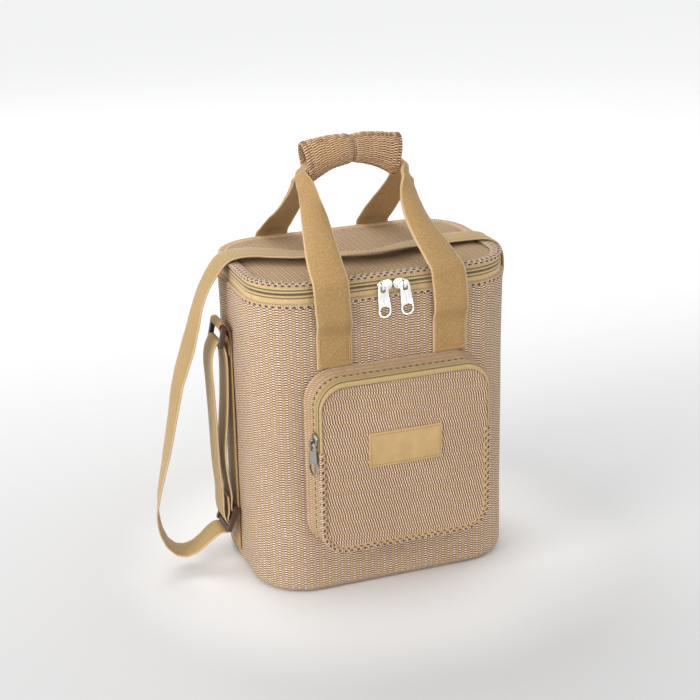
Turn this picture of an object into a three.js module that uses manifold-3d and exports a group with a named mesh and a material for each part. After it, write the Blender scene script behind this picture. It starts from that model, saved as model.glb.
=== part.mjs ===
// Woven insulated cooler bag with a zipped lid, a gusseted front pocket, two carry handles held
// together by a padded grip, and a long adjustable shoulder strap.
// Units are millimetres. X runs along the front, -Y is the front, +Z is up. The origin is on the
// floor, under the middle of the bag.

import * as THREE from 'three';
import { mergeVertices } from 'three/addons/utils/BufferGeometryUtils.js';
import Module from 'manifold-3d';

const wasm = await Module();
wasm.setup();

// Clearance between pieces that are sewn together or rest on each other
const seam = 0.3;

// Body
const bodyWidth = 260;
const bodyDepth = 176;
const cornerRadius = 52;
const rimHeight = 292;
const wovenThickness = 2.4;
const baseSeamHeight = 12;
const baseEdgeRadius = 10;
const hemHeight = 12;
const hemProud = 0.4;
const foamThickness = 6;
const foamBelowRim = 9;
const linerThickness = 1;
const linerFloorRadius = 5;

// Zip round the lid
const tapeThickness = 1.2;
const zipAboveRim = 9.2;
const coilWidth = 2;
const coilHeight = 0.9;

// Lid
const lidThickness = 9.4;
const lidOverhang = 1.5;
const lidHemWidth = 11;
const lidHemThickness = 2;
const lidPanelThickness = 1.7;
const lidFoamThickness = 3.4;
const lidHemStep = 2.3;

// Handles of wide webbing
const webbingWidth = 34.5;
const webbingThickness = 1.7;
const anchorBelowRim = 32;
const frontCentre = -1.5;
const handleStandoff = 5.2;
const foldedWidth = 15.6;
const foldedThickness = 3.4;
const foldedGap = 1.6;

// Padded grip that wraps both handles
const gripLength = 92;
const gripCentre = -6.5;
const gripEndLean = 0.45;
const gripHeight = 410.2;
const gripDroop = 10;
const gripSeat = 3;
const gripEndSeat = 5.2;
const gripEndHeight = 40.6;
const gripMiddleHeight = 27.4;
const gripEndDepth = 26.6;
const gripMiddleDepth = 28;
const gripWall = 2.7;

// Front pocket
const pocketWidth = 171;
const pocketHeight = 171;
const pocketBottom = 55;
const pocketRadius = 26;
const pocketDepth = 33.4;
const pocketFlare = 3;
const pocketWall = 2;
const pocketHemWidth = 7;
const pocketHemRise = 0.6;
const pocketZipBand = 9;
const pocketZipEnd = 160;
const pocketFold = 136;
const labelWidth = 73;
const labelHeight = 34;
const labelThickness = 1.2;
const labelRaise = 2.7;

// The handles' sewn ends start above the pocket's seam
const anchorTop = rimHeight - anchorBelowRim;
const anchorBottom = pocketBottom + pocketHeight + pocketFlare + seam;

// Zip sliders and pulls
const sliderLength = 14;
const sliderHeight = 11;
const sliderThickness = 2.8;
const tunnelHeight = 2.4;
const bailThickness = 1.4;
const bailWidth = 2.6;
const pullWidth = 9.8;
const pullEndWidth = 12.5;
const pullLength = 33;
const pullThickness = 1.4;
const pullBorder = 1.9;
const sliderGap = 1.4;
const noseLead = 2.4;
const slidersMeet = -0.5;

// Shoulder strap, its rings and its adjuster
const strapWidth = 30;
const strapThickness = 1.5;
const sideCentre = 16;
const ringOut = 8.7;
const ringBelowRim = 42;
const adjusterOut = 9.3;
const adjusterHeight = 50.3;
const ringInside = 31.5;
const ringBar = 4.4;
const ringPitch = 18.1;
const ringThickness = 2.2;
const frameThickness = 4.4;
const adjusterSlot = 7.5;
const adjusterBar = 4;
const wrapRadius = 3.4;

// Colours
const wovenColour = 0xc0a083;
const webbingColour = 0xb1925c;
const strapColour = 0xc9a878;
const tapeColour = 0xa98f5e;
const coilColour = 0x8f774b;
const foamColour = 0xf1efe8;
const foilColour = 0xc9ccd0;
const liningColour = 0xcbb58f;
const labelColour = 0xc39d62;
const nickelColour = 0xd6d6d8;
const plasticColour = 0x4b332d;

// Steps along curves
const cornerSteps = 8;
const barSteps = 2;

const painted = (color, roughness, metalness) =>
  new THREE.MeshStandardMaterial({ color, roughness, metalness });
const woven = () => painted(wovenColour, 0.9, 0);
const webbing = () => painted(webbingColour, 0.85, 0);
const strapCloth = () => painted(strapColour, 0.85, 0);
const tape = () => painted(tapeColour, 0.8, 0);
const coil = () => painted(coilColour, 0.5, 0);
const foam = () => painted(foamColour, 0.9, 0);
const foil = () => painted(foilColour, 0.35, 0.6);
const lining = () => painted(liningColour, 0.9, 0);
const labelCloth = () => painted(labelColour, 0.7, 0);
const nickel = () => painted(nickelColour, 0.25, 1);
const plastic = () => painted(plasticColour, 0.35, 0);

// Geometry helpers

const vec = (x, y, z) => new THREE.Vector3(x, y, z);

// A closed solid from points and triangles, turned so that its faces point out
function solid(points, triangles) {
  let volume = 0;
  for (const [a, b, c] of triangles) {
    volume += points[a].dot(points[b].clone().cross(points[c]));
  }
  const index = triangles.flatMap(([a, b, c]) => (volume > 0 ? [a, b, c] : [a, c, b]));
  const geometry = new THREE.BufferGeometry().setFromPoints(points);
  geometry.setIndex(index);
  geometry.computeVertexNormals();
  return geometry;
}

// A skin through equal closed rings of points. The row of rings may be closed too, or each end is
// capped with the triangles that capping gives for its ring.
function skin(rings, capping = null) {
  const count = rings[0].length;
  const points = rings.flat();
  const triangles = [];
  const last = capping ? rings.length - 1 : rings.length;
  for (let i = 0; i < last; i += 1) {
    const here = i * count;
    const next = ((i + 1) % rings.length) * count;
    for (let j = 0; j < count; j += 1) {
      const k = (j + 1) % count;
      triangles.push([here + j, next + j, next + k], [here + j, next + k, here + k]);
    }
  }
  if (capping) {
    const end = last * count;
    for (const [a, b, c] of capping(rings[0])) triangles.push([a, b, c]);
    for (const [a, b, c] of capping(rings[last])) triangles.push([end + a, end + c, end + b]);
  }
  return solid(points, triangles);
}

// Triangles across a flat ring of points, wound the same way as the ring
function capOf(profile) {
  const outline = profile.map(([x, y]) => new THREE.Vector2(x, y));
  const faces = THREE.ShapeUtils.triangulateShape(outline, []);
  const ringArea = THREE.ShapeUtils.area(outline);
  return faces.map(([a, b, c]) => {
    const area = THREE.ShapeUtils.area([outline[a], outline[b], outline[c]]);
    return area * ringArea > 0 ? [a, b, c] : [a, c, b];
  });
}

// Points of a rounded corner, each with the direction that faces out of the loop
function corner(x, y, radius, fromDegrees) {
  const points = [];
  for (let i = 0; i <= cornerSteps; i += 1) {
    const angle = THREE.MathUtils.degToRad(fromDegrees + (90 * i) / cornerSteps);
    const nx = Math.cos(angle);
    const ny = Math.sin(angle);
    points.push({ x: x + radius * nx, y: y + radius * ny, nx, ny });
  }
  return points;
}

// A rounded rectangle that starts and ends on its +Y side
function roundedLoop(width, depth, radius) {
  const x = width / 2 - radius;
  const y = depth / 2 - radius;
  return [
    ...corner(-x, y, radius, 90),
    ...corner(-x, -y, radius, 180),
    ...corner(x, -y, radius, 270),
    ...corner(x, y, radius, 0),
  ];
}

const inset = (p, distance, height) => vec(p.x - p.nx * distance, p.y - p.ny * distance, height);

// A profile of [inset, height] points carried round a loop
function rail(path, profile, closedPath = true) {
  const rings = path.map((p) => profile.map(([distance, height]) => inset(p, distance, height)));
  return skin(rings, closedPath ? null : () => capOf(profile));
}

// A dish or panel: a profile whose two ends are closed by flat faces across the loop
function dish(path, profile) {
  const rings = profile.map(([distance, height]) => path.map((p) => inset(p, distance, height)));
  return skin(rings, (ring) => capOf(ring.map((p) => [p.x, p.y])));
}

// Profile points of a quarter round between two directions, about a centre
function quarter([distance, height], radius, fromDegrees, steps = 4) {
  return Array.from({ length: steps + 1 }, (_, i) => {
    const angle = THREE.MathUtils.degToRad(fromDegrees + (90 * i) / steps);
    return [distance + radius * Math.cos(angle), height + radius * Math.sin(angle)];
  });
}

// A strip of webbing through stations of { at, across, width, thickness }, or the part of it
// between two of them, drawn back at a cut so that the parts of one webbing don't touch
function strip(stations, stepsBetween, first = 0, final = stations.length - 1) {
  const route = new THREE.CatmullRomCurve3(stations.map((s) => s.at), false, 'centripetal');
  const sides = new THREE.CatmullRomCurve3(stations.map((s) => s.across), false, 'centripetal');
  const spans = stations.length - 1;
  const steps = (final - first) * stepsBetween;
  const rings = [];
  for (let i = 0; i <= steps; i += 1) {
    const place = first + i / stepsBetween;
    const t = place / spans;
    const span = Math.min(Math.floor(place + 1e-9), spans - 1);
    const part = place - span;
    const width = THREE.MathUtils.lerp(stations[span].width, stations[span + 1].width, part);
    const thickness = THREE.MathUtils.lerp(stations[span].thickness, stations[span + 1].thickness, part);
    const tangent = route.getTangent(t);
    const across = sides.getPoint(t);
    across.addScaledVector(tangent, -across.dot(tangent)).normalize();
    const normal = tangent.clone().cross(across);
    const centre = route.getPoint(t);
    if (i === 0 && first > 0) centre.addScaledVector(tangent, seam / 2);
    if (i === steps && final < spans) centre.addScaledVector(tangent, -seam / 2);
    const edge = (u, v) => centre.clone()
      .addScaledVector(across, (u * width) / 2)
      .addScaledVector(normal, (v * thickness) / 2);
    rings.push([edge(-1, -1), edge(1, -1), edge(1, 1), edge(-1, 1)]);
  }
  return skin(rings, () => [[0, 1, 2], [0, 2, 3]]);
}

function toManifold(geometry) {
  const bare = geometry.clone();
  bare.deleteAttribute('normal');
  bare.deleteAttribute('uv');
  const merged = mergeVertices(bare, 1e-4);
  return new wasm.Manifold(new wasm.Mesh({
    numProp: 3,
    vertProperties: new Float32Array(merged.attributes.position.array),
    triVerts: new Uint32Array(merged.index.array),
  }));
}

function fromManifold(shape) {
  const mesh = shape.getMesh();
  const geometry = new THREE.BufferGeometry();
  geometry.setAttribute('position', new THREE.BufferAttribute(new Float32Array(mesh.vertProperties), 3));
  geometry.setIndex(Array.from(mesh.triVerts));
  geometry.computeVertexNormals();
  return geometry;
}

function boxBetween(low, high) {
  const size = high.clone().sub(low);
  const box = new THREE.BoxGeometry(size.x, size.y, size.z);
  box.translate((low.x + high.x) / 2, (low.y + high.y) / 2, (low.z + high.z) / 2);
  return box;
}

const keepInside = (geometry, box) => fromManifold(toManifold(geometry).intersect(toManifold(box)));

const bag = new THREE.Group();

function add(name, geometry, material, group = bag) {
  const mesh = new THREE.Mesh(geometry, material);
  mesh.name = name;
  group.add(mesh);
  return mesh;
}

// Heights and insets that more than one piece needs
const bodyLoop = roundedLoop(bodyWidth, bodyDepth, cornerRadius);
const hemBottom = rimHeight - hemHeight;
const foamTop = rimHeight - foamBelowRim;
const zipCentre = rimHeight + zipAboveRim;
const tapeOuter = wovenThickness + seam;
const tapeInner = tapeOuter + tapeThickness;
const foamOuter = wovenThickness + seam;
const foamInner = foamOuter + foamThickness;
const linerOuter = foamInner + seam;
const linerInner = linerOuter + linerThickness;
const baseFoamTop = wovenThickness + seam + foamThickness;
const linerFloor = baseFoamTop + seam;

// The woven base is a dish whose edge turns up to the seam
function basePanel() {
  const inner = baseEdgeRadius - wovenThickness;
  const centre = [baseEdgeRadius, baseEdgeRadius];
  return dish(bodyLoop, [
    ...quarter(centre, baseEdgeRadius, 180).reverse(),
    [0, baseSeamHeight],
    [wovenThickness, baseSeamHeight],
    ...quarter(centre, inner, 180),
  ]);
}

// The woven wall stands on the base's seam and ends under the hem
function bodyShell() {
  const bottom = baseSeamHeight + seam;
  const top = hemBottom - seam;
  return rail(bodyLoop, [[0, bottom], [0, top], [wovenThickness, top], [wovenThickness, bottom]]);
}

function rimHem() {
  return rail(bodyLoop, [
    [0, hemBottom],
    [-hemProud, hemBottom + 1],
    [-hemProud, rimHeight - 1],
    [0, rimHeight],
    [wovenThickness, rimHeight],
    [wovenThickness, hemBottom],
  ]);
}

function baseFoam() {
  const centre = [baseEdgeRadius, baseEdgeRadius + 0.2];
  const edge = quarter(centre, baseEdgeRadius - foamOuter, 180, 5).reverse();
  return dish(bodyLoop, [...edge.slice(0, -1), [foamOuter + 0.4, baseFoamTop]]);
}

function wallFoam() {
  const bottom = baseEdgeRadius + seam;
  return rail(bodyLoop, [
    [foamOuter, bottom],
    [foamOuter, foamTop],
    [foamInner, foamTop],
    [foamInner, bottom],
  ]);
}

// The foil liner is a deep tray whose lip turns out over the foam to the zip tape
function bodyLiner() {
  const lip = foamTop + seam;
  const centre = [linerOuter + linerFloorRadius, linerFloor + linerFloorRadius];
  return dish(bodyLoop, [
    ...quarter(centre, linerFloorRadius, 180).reverse(),
    [linerOuter, lip],
    [tapeInner + seam, lip],
    [tapeInner + seam, lip + linerThickness],
    [linerInner, lip + linerThickness],
    ...quarter(centre, linerFloorRadius - linerThickness, 180),
  ]);
}

// The zip runs round the front and both sides, and stops at the back's straight
const coilInset = tapeOuter + tapeThickness / 2 - coilWidth / 2;
const coilClear = 0.3;

function zipTapeLower() {
  const top = zipCentre - coilClear - coilHeight - seam;
  const bottom = foamTop + seam;
  const profile = [[tapeOuter, bottom], [tapeOuter, top], [tapeInner, top], [tapeInner, bottom]];
  return rail(bodyLoop, profile, false);
}

function zipCoilLower() {
  const top = zipCentre - coilClear;
  const bottom = top - coilHeight;
  const outer = coilInset;
  const inner = coilInset + coilWidth;
  return rail(bodyLoop, [[outer, bottom], [outer, top], [inner, top], [inner, bottom]], false);
}

function zipCoilUpper() {
  const bottom = zipCentre + coilClear;
  const top = bottom + coilHeight;
  const outer = coilInset;
  const inner = coilInset + coilWidth;
  return rail(bodyLoop, [[outer, bottom], [outer, top], [inner, top], [inner, bottom]], false);
}

const lidTop = zipCentre + lidThickness;
const lidHemBottom = lidTop - lidHemThickness;
const lidPanelTop = lidTop - lidHemStep;
const lidPanelBottom = lidPanelTop - lidPanelThickness;
const lidFoamTop = lidPanelBottom - seam;
const lidFoamBottom = lidFoamTop - lidFoamThickness;
const lidLinerBottom = zipCentre + coilClear;
const lidLinerTop = lidFoamBottom - seam;
const lidInside = tapeInner + seam;

function zipTapeUpper() {
  const bottom = zipCentre + coilClear + coilHeight + seam;
  const top = lidHemBottom - seam;
  const profile = [[tapeOuter, bottom], [tapeOuter, top], [tapeInner, top], [tapeInner, bottom]];
  return rail(bodyLoop, profile, false);
}

// The back of the lid is hinged by a strip of cloth, sewn to the body below and the lid above
const hingeHalf = bodyWidth / 2 - cornerRadius - seam;
const hingeOuter = bodyDepth / 2 - tapeOuter;

function hingeStrip(bottom, top) {
  return boxBetween(vec(-hingeHalf, hingeOuter - tapeThickness, bottom), vec(hingeHalf, hingeOuter, top));
}

function lidHem() {
  const outer = lidOverhang - seam;
  const inner = outer + lidHemWidth;
  return rail(bodyLoop, [
    [outer + 0.4, lidHemBottom],
    [outer, lidHemBottom + 0.5],
    [outer, lidTop - 0.6],
    [outer + 0.8, lidTop],
    [inner - 0.5, lidTop],
    [inner, lidTop - 0.5],
    [inner, lidHemBottom],
  ]);
}

// The lid's woven panel lies inside the hem, with its edge tucked under
function lidPanel() {
  const hemInner = lidOverhang - seam + lidHemWidth + seam;
  const tuck = lidHemBottom - seam;
  return dish(bodyLoop, [
    [lidInside, lidPanelBottom],
    [lidInside, tuck],
    [hemInner, tuck],
    [hemInner, lidPanelTop],
  ]);
}

function slab(loop, distance, bottom, top) {
  return dish(loop, [[distance, bottom], [distance, top]]);
}

function buildBody() {
  add('base_panel', basePanel(), woven());
  add('body_shell', bodyShell(), woven());
  add('rim_hem', rimHem(), woven());
  add('base_foam', baseFoam(), foam());
  add('wall_foam', wallFoam(), foam());
  add('body_liner', bodyLiner(), foil());
  add('zip_tape_lower', zipTapeLower(), tape());
  add('zip_coil_lower', zipCoilLower(), coil());
  add('hinge_strip_lower', hingeStrip(foamTop + seam, zipCentre - coilClear), woven());
}

function buildLid() {
  add('lid_panel', lidPanel(), woven());
  add('lid_hem', lidHem(), woven());
  add('lid_foam', slab(bodyLoop, lidInside, lidFoamBottom, lidFoamTop), foam());
  add('lid_liner', slab(bodyLoop, coilInset + coilWidth + seam, lidLinerBottom, lidLinerTop), foil());
  add('zip_tape_upper', zipTapeUpper(), tape());
  add('zip_coil_upper', zipCoilUpper(), coil());
  add('hinge_strip_upper', hingeStrip(zipCentre + coilClear, lidHemBottom - seam), woven());
}

// Front pocket, built flat: X along the front, Y up, Z out from the wall
const pocketMiddle = pocketBottom + pocketHeight / 2;
const pocketGroup = new THREE.Group();
pocketGroup.position.set(frontCentre, -bodyDepth / 2, pocketMiddle);
pocketGroup.rotation.x = Math.PI / 2;
bag.add(pocketGroup);

const pocketLoop = roundedLoop(pocketWidth, pocketHeight, pocketRadius);
const pocketFrontThickness = 2;
const pocketPanelBack = pocketDepth - pocketHemRise - pocketFrontThickness;
const pocketBandStart = pocketPanelBack - pocketZipBand;
const pocketTapeHalf = (pocketZipBand - seam - 2 * coilHeight - 2 * coilClear - 2 * seam) / 2;

// The pocket's edge above or below the ends of its zip
function pocketEdge(upper) {
  const x = pocketWidth / 2 - pocketRadius;
  const y = pocketHeight / 2 - pocketRadius;
  const end = pocketZipEnd - pocketMiddle;
  const half = pocketWidth / 2;
  if (upper) {
    return [
      { x: half, y: end, nx: 1, ny: 0 },
      ...corner(x, y, pocketRadius, 0),
      ...corner(-x, y, pocketRadius, 90),
      { x: -half, y: end, nx: -1, ny: 0 },
    ];
  }
  return [
    { x: -half, y: end - seam, nx: -1, ny: 0 },
    ...corner(-x, -y, pocketRadius, 180),
    ...corner(x, -y, pocketRadius, 270),
    { x: half, y: end - seam, nx: 1, ny: 0 },
  ];
}

// The gusset flares where it is sewn to the wall
function pocketGusset() {
  const out = [
    [-pocketFlare, seam],
    [-pocketFlare * 0.38, 6],
    [-pocketFlare * 0.1, 13],
    [0, pocketBandStart - seam],
  ];
  const back = out.map(([distance, height]) => [distance + pocketWall, height]).reverse();
  return rail(pocketLoop, [...out, ...back]);
}

function pocketBandLower() {
  const start = pocketBandStart;
  const end = pocketPanelBack - seam;
  return rail(pocketEdge(false), [[0, start], [0, end], [pocketWall, end], [pocketWall, start]], false);
}

function pocketTape(start) {
  const end = start + pocketTapeHalf;
  const inner = tapeThickness + 0.2;
  return rail(pocketEdge(true), [[0.2, start], [0.2, end], [inner, end], [inner, start]], false);
}

function pocketCoil(start) {
  const end = start + coilHeight;
  return rail(pocketEdge(true), [[-0.2, start], [-0.2, end], [1.8, end], [1.8, start]], false);
}

// The front panel has a raised hem, and is cut at the fold that lets its top tip forward
function pocketFront(above) {
  const hemTop = pocketDepth;
  const panelTop = pocketDepth - pocketHemRise;
  const panel = dish(pocketLoop, [
    [0.4, pocketPanelBack],
    [0, pocketPanelBack + 0.6],
    [0, hemTop - 0.8],
    [0.8, hemTop],
    [pocketHemWidth, hemTop],
    [pocketHemWidth + 0.8, panelTop],
  ]);
  const fold = pocketFold - pocketMiddle;
  const half = pocketWidth;
  const keep = above
    ? boxBetween(vec(-half, fold + seam / 2, 0), vec(half, half, pocketDepth + 5))
    : boxBetween(vec(-half, -half, 0), vec(half, fold - seam / 2, pocketDepth + 5));
  return keepInside(panel, keep);
}

function labelPatch() {
  const back = pocketDepth - pocketHemRise + seam;
  const centreX = -1.9;
  const low = pocketFold + labelRaise - pocketMiddle;
  return boxBetween(
    vec(centreX - labelWidth / 2, low, back),
    vec(centreX + labelWidth / 2, low + labelHeight, back + labelThickness),
  );
}

function buildPocket() {
  const outerTape = pocketBandStart;
  const outerCoil = outerTape + pocketTapeHalf + seam;
  const innerCoil = outerCoil + coilHeight + 2 * coilClear;
  const innerTape = innerCoil + coilHeight + seam;
  add('pocket_lining', slab(pocketLoop, pocketWall + seam, seam, seam + 0.8), lining(), pocketGroup);
  add('pocket_gusset', pocketGusset(), woven(), pocketGroup);
  add('pocket_band_lower', pocketBandLower(), woven(), pocketGroup);
  add('pocket_zip_tape_outer', pocketTape(outerTape), tape(), pocketGroup);
  add('pocket_zip_coil_outer', pocketCoil(outerCoil), coil(), pocketGroup);
  add('pocket_zip_coil_inner', pocketCoil(innerCoil), coil(), pocketGroup);
  add('pocket_zip_tape_inner', pocketTape(innerTape), tape(), pocketGroup);
  add('pocket_front_lower', pocketFront(false), woven(), pocketGroup);
  add('pocket_front_flap', pocketFront(true), woven(), pocketGroup);
  add('label_patch', labelPatch(), labelCloth(), pocketGroup);
}

// Handles. A leg is listed from its sewn end to the grip: how far out from the wall, the height,
// the twist in degrees, the width and the thickness. The webbing is folded lengthwise at the top.
const wallSide = seam + webbingThickness / 2;
const standoff = handleStandoff + webbingThickness / 2;
const wallY = bodyDepth / 2;
const gripEntry = gripHeight - 18.2;

const legRows = [
  [wallSide, anchorTop + 1.7 * seam, 0, webbingWidth, webbingThickness],
  [wallSide + 2, anchorTop + 6, 0, webbingWidth, webbingThickness],
  [standoff - 0.4, anchorTop + 12, 0, webbingWidth, webbingThickness],
  [standoff, anchorTop + 27, 0, webbingWidth, webbingThickness],
  [standoff, zipCentre, 0, webbingWidth, webbingThickness],
  [standoff - 1, lidTop + 2, 4, 34, webbingThickness],
  [-2.2, lidTop + 10, 7, 33.5, webbingThickness],
  [-13.6, lidTop + 22, 11, 32, 1.8],
  [-30.5, lidTop + 36, 18, 28.5, 2],
  [-48, gripEntry - 31.4, 24, 24.5, 2.4],
  [-60.5, gripEntry - 21.4, 27, 20, 2.9],
  [-71, gripEntry - 11.4, 40, 17.5, 3.2],
  [-81.6, gripEntry - 5, 72, foldedWidth, foldedThickness],
  [-wallY, gripEntry, 90, foldedWidth, foldedThickness],
];

// How far each leg stands to the side at each of those rows. The handles sway a little, because
// the bag hangs from its grip.
const legPlaces = {
  frontLeft: [-59, -59, -59.6, -61, -61.8, -62.5, -62.9, -62.6, -60.6, -58.6, -57.6, -57.2, -57.2, -55.6],
  frontRight: [56, 56, 55.7, 54.9, 53.5, 51.4, 49, 44.6, 40.8, 39.9, 41.4, 44.2, 45.6, 43.2],
  backLeft: [-60.5, -60.5, -60.4, -60.2, -59.6, -58, -56.2, -53.2, -51.3, -52, -53.4, -57.4, -62.4, -61.2],
  backRight: [50.5, 50.5, 50.1, 49, 49, 49.8, 50.8, 52.8, 53.6, 54.4, 54, 53, 51.8, 48.6],
};

// Inside the grip both handles lie flat on the sleeve's floor, the back one over the front one
const gripPlaces = [-49, -40, -28, -14, 2, 16, 28, 36];

function gripStrapHeight(x) {
  const u = (x - gripCentre) / (gripLength / 2);
  return gripHeight - gripDroop * u * u - THREE.MathUtils.lerp(gripSeat, gripEndSeat, u * u);
}

function handle(front) {
  const face = front ? -1 : 1;
  const rise = ((front ? -1 : 1) * (foldedThickness + foldedGap)) / 2;
  const places = front
    ? [legPlaces.frontLeft, legPlaces.frontRight]
    : [legPlaces.backLeft, legPlaces.backRight];
  const leg = (xs, side) => legRows.map(([out, z, twist, width, thickness], i) => {
    const angle = THREE.MathUtils.degToRad(twist);
    const closing = THREE.MathUtils.smoothstep(z, gripEntry - 31.4, gripEntry);
    const lift = (rise + (foldedThickness + foldedGap) / 2) * closing;
    return {
      at: vec(xs[i], face * (wallY + out), z + lift),
      across: vec(-side * Math.cos(angle), face * Math.sin(angle), 0),
      width,
      thickness,
    };
  });
  const inside = gripPlaces.map((x) => ({
    at: vec(x, 0, gripStrapHeight(x) + rise),
    across: vec(0, face, 0),
    width: foldedWidth,
    thickness: foldedThickness,
  }));
  return strip([...leg(places[0], -1), ...inside, ...leg(places[1], 1).reverse()], 2);
}

// The sewn end of a handle is a flat length of webbing on the wall
function anchor(centreX, front) {
  const near = wallY + seam;
  const far = near + webbingThickness;
  const x0 = centreX - webbingWidth / 2;
  const x1 = centreX + webbingWidth / 2;
  const [y0, y1] = front ? [-far, -near] : [near, far];
  return boxBetween(vec(x0, y0, anchorBottom), vec(x1, y1, anchorTop));
}

// The grip is a padded sleeve that droops at its ends and is squeezed in the middle
function gripWrap() {
  const stations = 14;
  const around = 16;
  const ringsAt = (shrink) => Array.from({ length: stations + 1 }, (_, i) => {
    const u = (2 * i) / stations - 1;
    const ends = Math.abs(u) ** 1.5;
    const high = THREE.MathUtils.lerp(gripMiddleHeight, gripEndHeight, ends) / 2 - shrink;
    const deep = THREE.MathUtils.lerp(gripMiddleDepth, gripEndDepth, ends) / 2 - shrink;
    const slope = gripEndLean * Math.atan2(-2 * gripDroop * u, gripLength / 2);
    const x = gripCentre + (u * gripLength) / 2;
    const z = gripHeight - gripDroop * u * u;
    return Array.from({ length: around }, (_, j) => {
      const angle = (2 * Math.PI * j) / around;
      const up = high * Math.sin(angle);
      return vec(x - up * Math.sin(slope), deep * Math.cos(angle), z + up * Math.cos(slope));
    });
  });
  const outer = ringsAt(0);
  const inner = ringsAt(gripWall).reverse();
  return skin([...outer, ...inner]);
}

function buildHandles() {
  add('front_anchor_left', anchor(legPlaces.frontLeft[0], true), webbing());
  add('front_anchor_right', anchor(legPlaces.frontRight[0], true), webbing());
  add('back_anchor_left', anchor(legPlaces.backLeft[0], false), webbing());
  add('back_anchor_right', anchor(legPlaces.backRight[0], false), webbing());
  add('front_handle_strap', handle(true), webbing());
  add('back_handle_strap', handle(false), webbing());
  add('grip_wrap', gripWrap(), woven());
}

// Zip sliders. Each is built facing +Z with its track along X, then turned to its wall.
const roundedPlate = (shape, thickness, bevel, steps = barSteps) => new THREE.ExtrudeGeometry(shape, {
  depth: thickness - 2 * bevel,
  bevelEnabled: true,
  bevelThickness: bevel,
  bevelSize: bevel,
  bevelOffset: -bevel,
  bevelSegments: 1,
  curveSegments: steps,
}).translate(0, 0, bevel);

function roundedRectangle(width, height, radius, Kind = THREE.Shape) {
  const x = width / 2;
  const y = height / 2;
  const outline = new Kind();
  outline.moveTo(-x + radius, -y);
  outline.lineTo(x - radius, -y);
  outline.absarc(x - radius, -y + radius, radius, -Math.PI / 2, 0, false);
  outline.lineTo(x, y - radius);
  outline.absarc(x - radius, y - radius, radius, 0, Math.PI / 2, false);
  outline.lineTo(-x + radius, y);
  outline.absarc(-x + radius, y - radius, radius, Math.PI / 2, Math.PI, false);
  outline.lineTo(-x, -y + radius);
  outline.absarc(-x + radius, -y + radius, radius, Math.PI, 1.5 * Math.PI, false);
  return outline;
}

// The slider's plate narrows towards its tail, and carries the bail that holds the pull. The nose
// reaches further from the bail than the tail. The bail stands across the zip where the pull hangs
// across it, and along the zip where it hangs along it.
function slider(plateTurn) {
  const half = sliderLength / 2;
  const nose = sliderHeight / 2;
  const tail = sliderHeight * 0.34;
  const outline = new THREE.Shape();
  outline.moveTo(-half, -tail);
  outline.lineTo(half * 0.2, -nose);
  outline.absarc(half - nose * 0.6 - 1.2, 0, nose, -Math.PI / 2.6, Math.PI / 2.6, false);
  outline.lineTo(half * 0.2, nose);
  outline.lineTo(-half, tail);
  outline.closePath();
  const plate = roundedPlate(outline, sliderThickness, 0.5).translate(noseLead, 0, 0).rotateZ(plateTurn);
  const inside = tunnelHeight;
  const low = -3.8;
  const high = 4.4;
  const post = 1.8;
  const x = bailWidth / 2;
  const top = sliderThickness + inside + bailThickness;
  const bail = toManifold(boxBetween(vec(-x, low, sliderThickness - 0.6), vec(x, high, top)));
  const tunnelFrom = vec(-x - 1, low + post, sliderThickness);
  const tunnel = boxBetween(tunnelFrom, vec(x + 1, high - post, sliderThickness + inside));
  return fromManifold(toManifold(plate).add(bail.subtract(toManifold(tunnel))));
}

// The pull hangs from a cross bar that lies in the bail's tunnel. It widens to a round end, with a
// hole below the bar and a window in the round end.
function pull() {
  const top = pullLength / 2;
  const topRadius = 2.4;
  const narrow = pullWidth / 2 - topRadius;
  const wide = pullEndWidth / 2;
  const outline = new THREE.Shape();
  outline.absarc(-narrow, top - topRadius, topRadius, Math.PI / 2, Math.PI, false);
  outline.absarc(0, -top + wide, wide, Math.PI, 2 * Math.PI, false);
  outline.absarc(narrow, top - topRadius, topRadius, 0, Math.PI / 2, false);
  outline.closePath();
  const bar = pullThickness;
  const eyeHeight = 8;
  const eye = roundedRectangle(5, eyeHeight, 2.2, THREE.Path);
  const eyeCentre = top - bar - eyeHeight / 2;
  const raised = (p) => new THREE.Vector2(p.x, p.y + eyeCentre);
  const window = new THREE.Path();
  window.absarc(0, -top + wide, wide - pullBorder, Math.PI, 2 * Math.PI, false);
  window.lineTo(wide - pullBorder, -top + wide + 3);
  window.lineTo(-wide + pullBorder, -top + wide + 3);
  window.closePath();
  outline.holes.push(new THREE.Path(eye.getPoints(barSteps).map(raised)), window);
  const plate = roundedPlate(outline, pullThickness, 0.25, 6);
  return plate.translate(0, -pullLength / 2 + bar / 2, -pullThickness / 2);
}

const pivotOut = sliderThickness + tunnelHeight / 2;

// A slider and its pull, placed on a wall: at is the middle of the zip on the coil's outer face
function sliderPair(sliderName, pullName, at, turn, plateTurn) {
  const wall = new THREE.Group();
  wall.position.copy(at);
  wall.rotation.copy(turn);
  bag.add(wall);
  const body = add(sliderName, slider(plateTurn), nickel(), wall);
  body.position.z = seam;
  const tab = add(pullName, pull(), nickel(), wall);
  tab.position.z = seam + pivotOut;
}

const frontTape = -(bodyDepth / 2 - coilInset);
const frontTurn = new THREE.Euler(Math.PI / 2, 0, 0);
const sliderOffset = sliderLength / 2 + sliderGap + noseLead;

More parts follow.
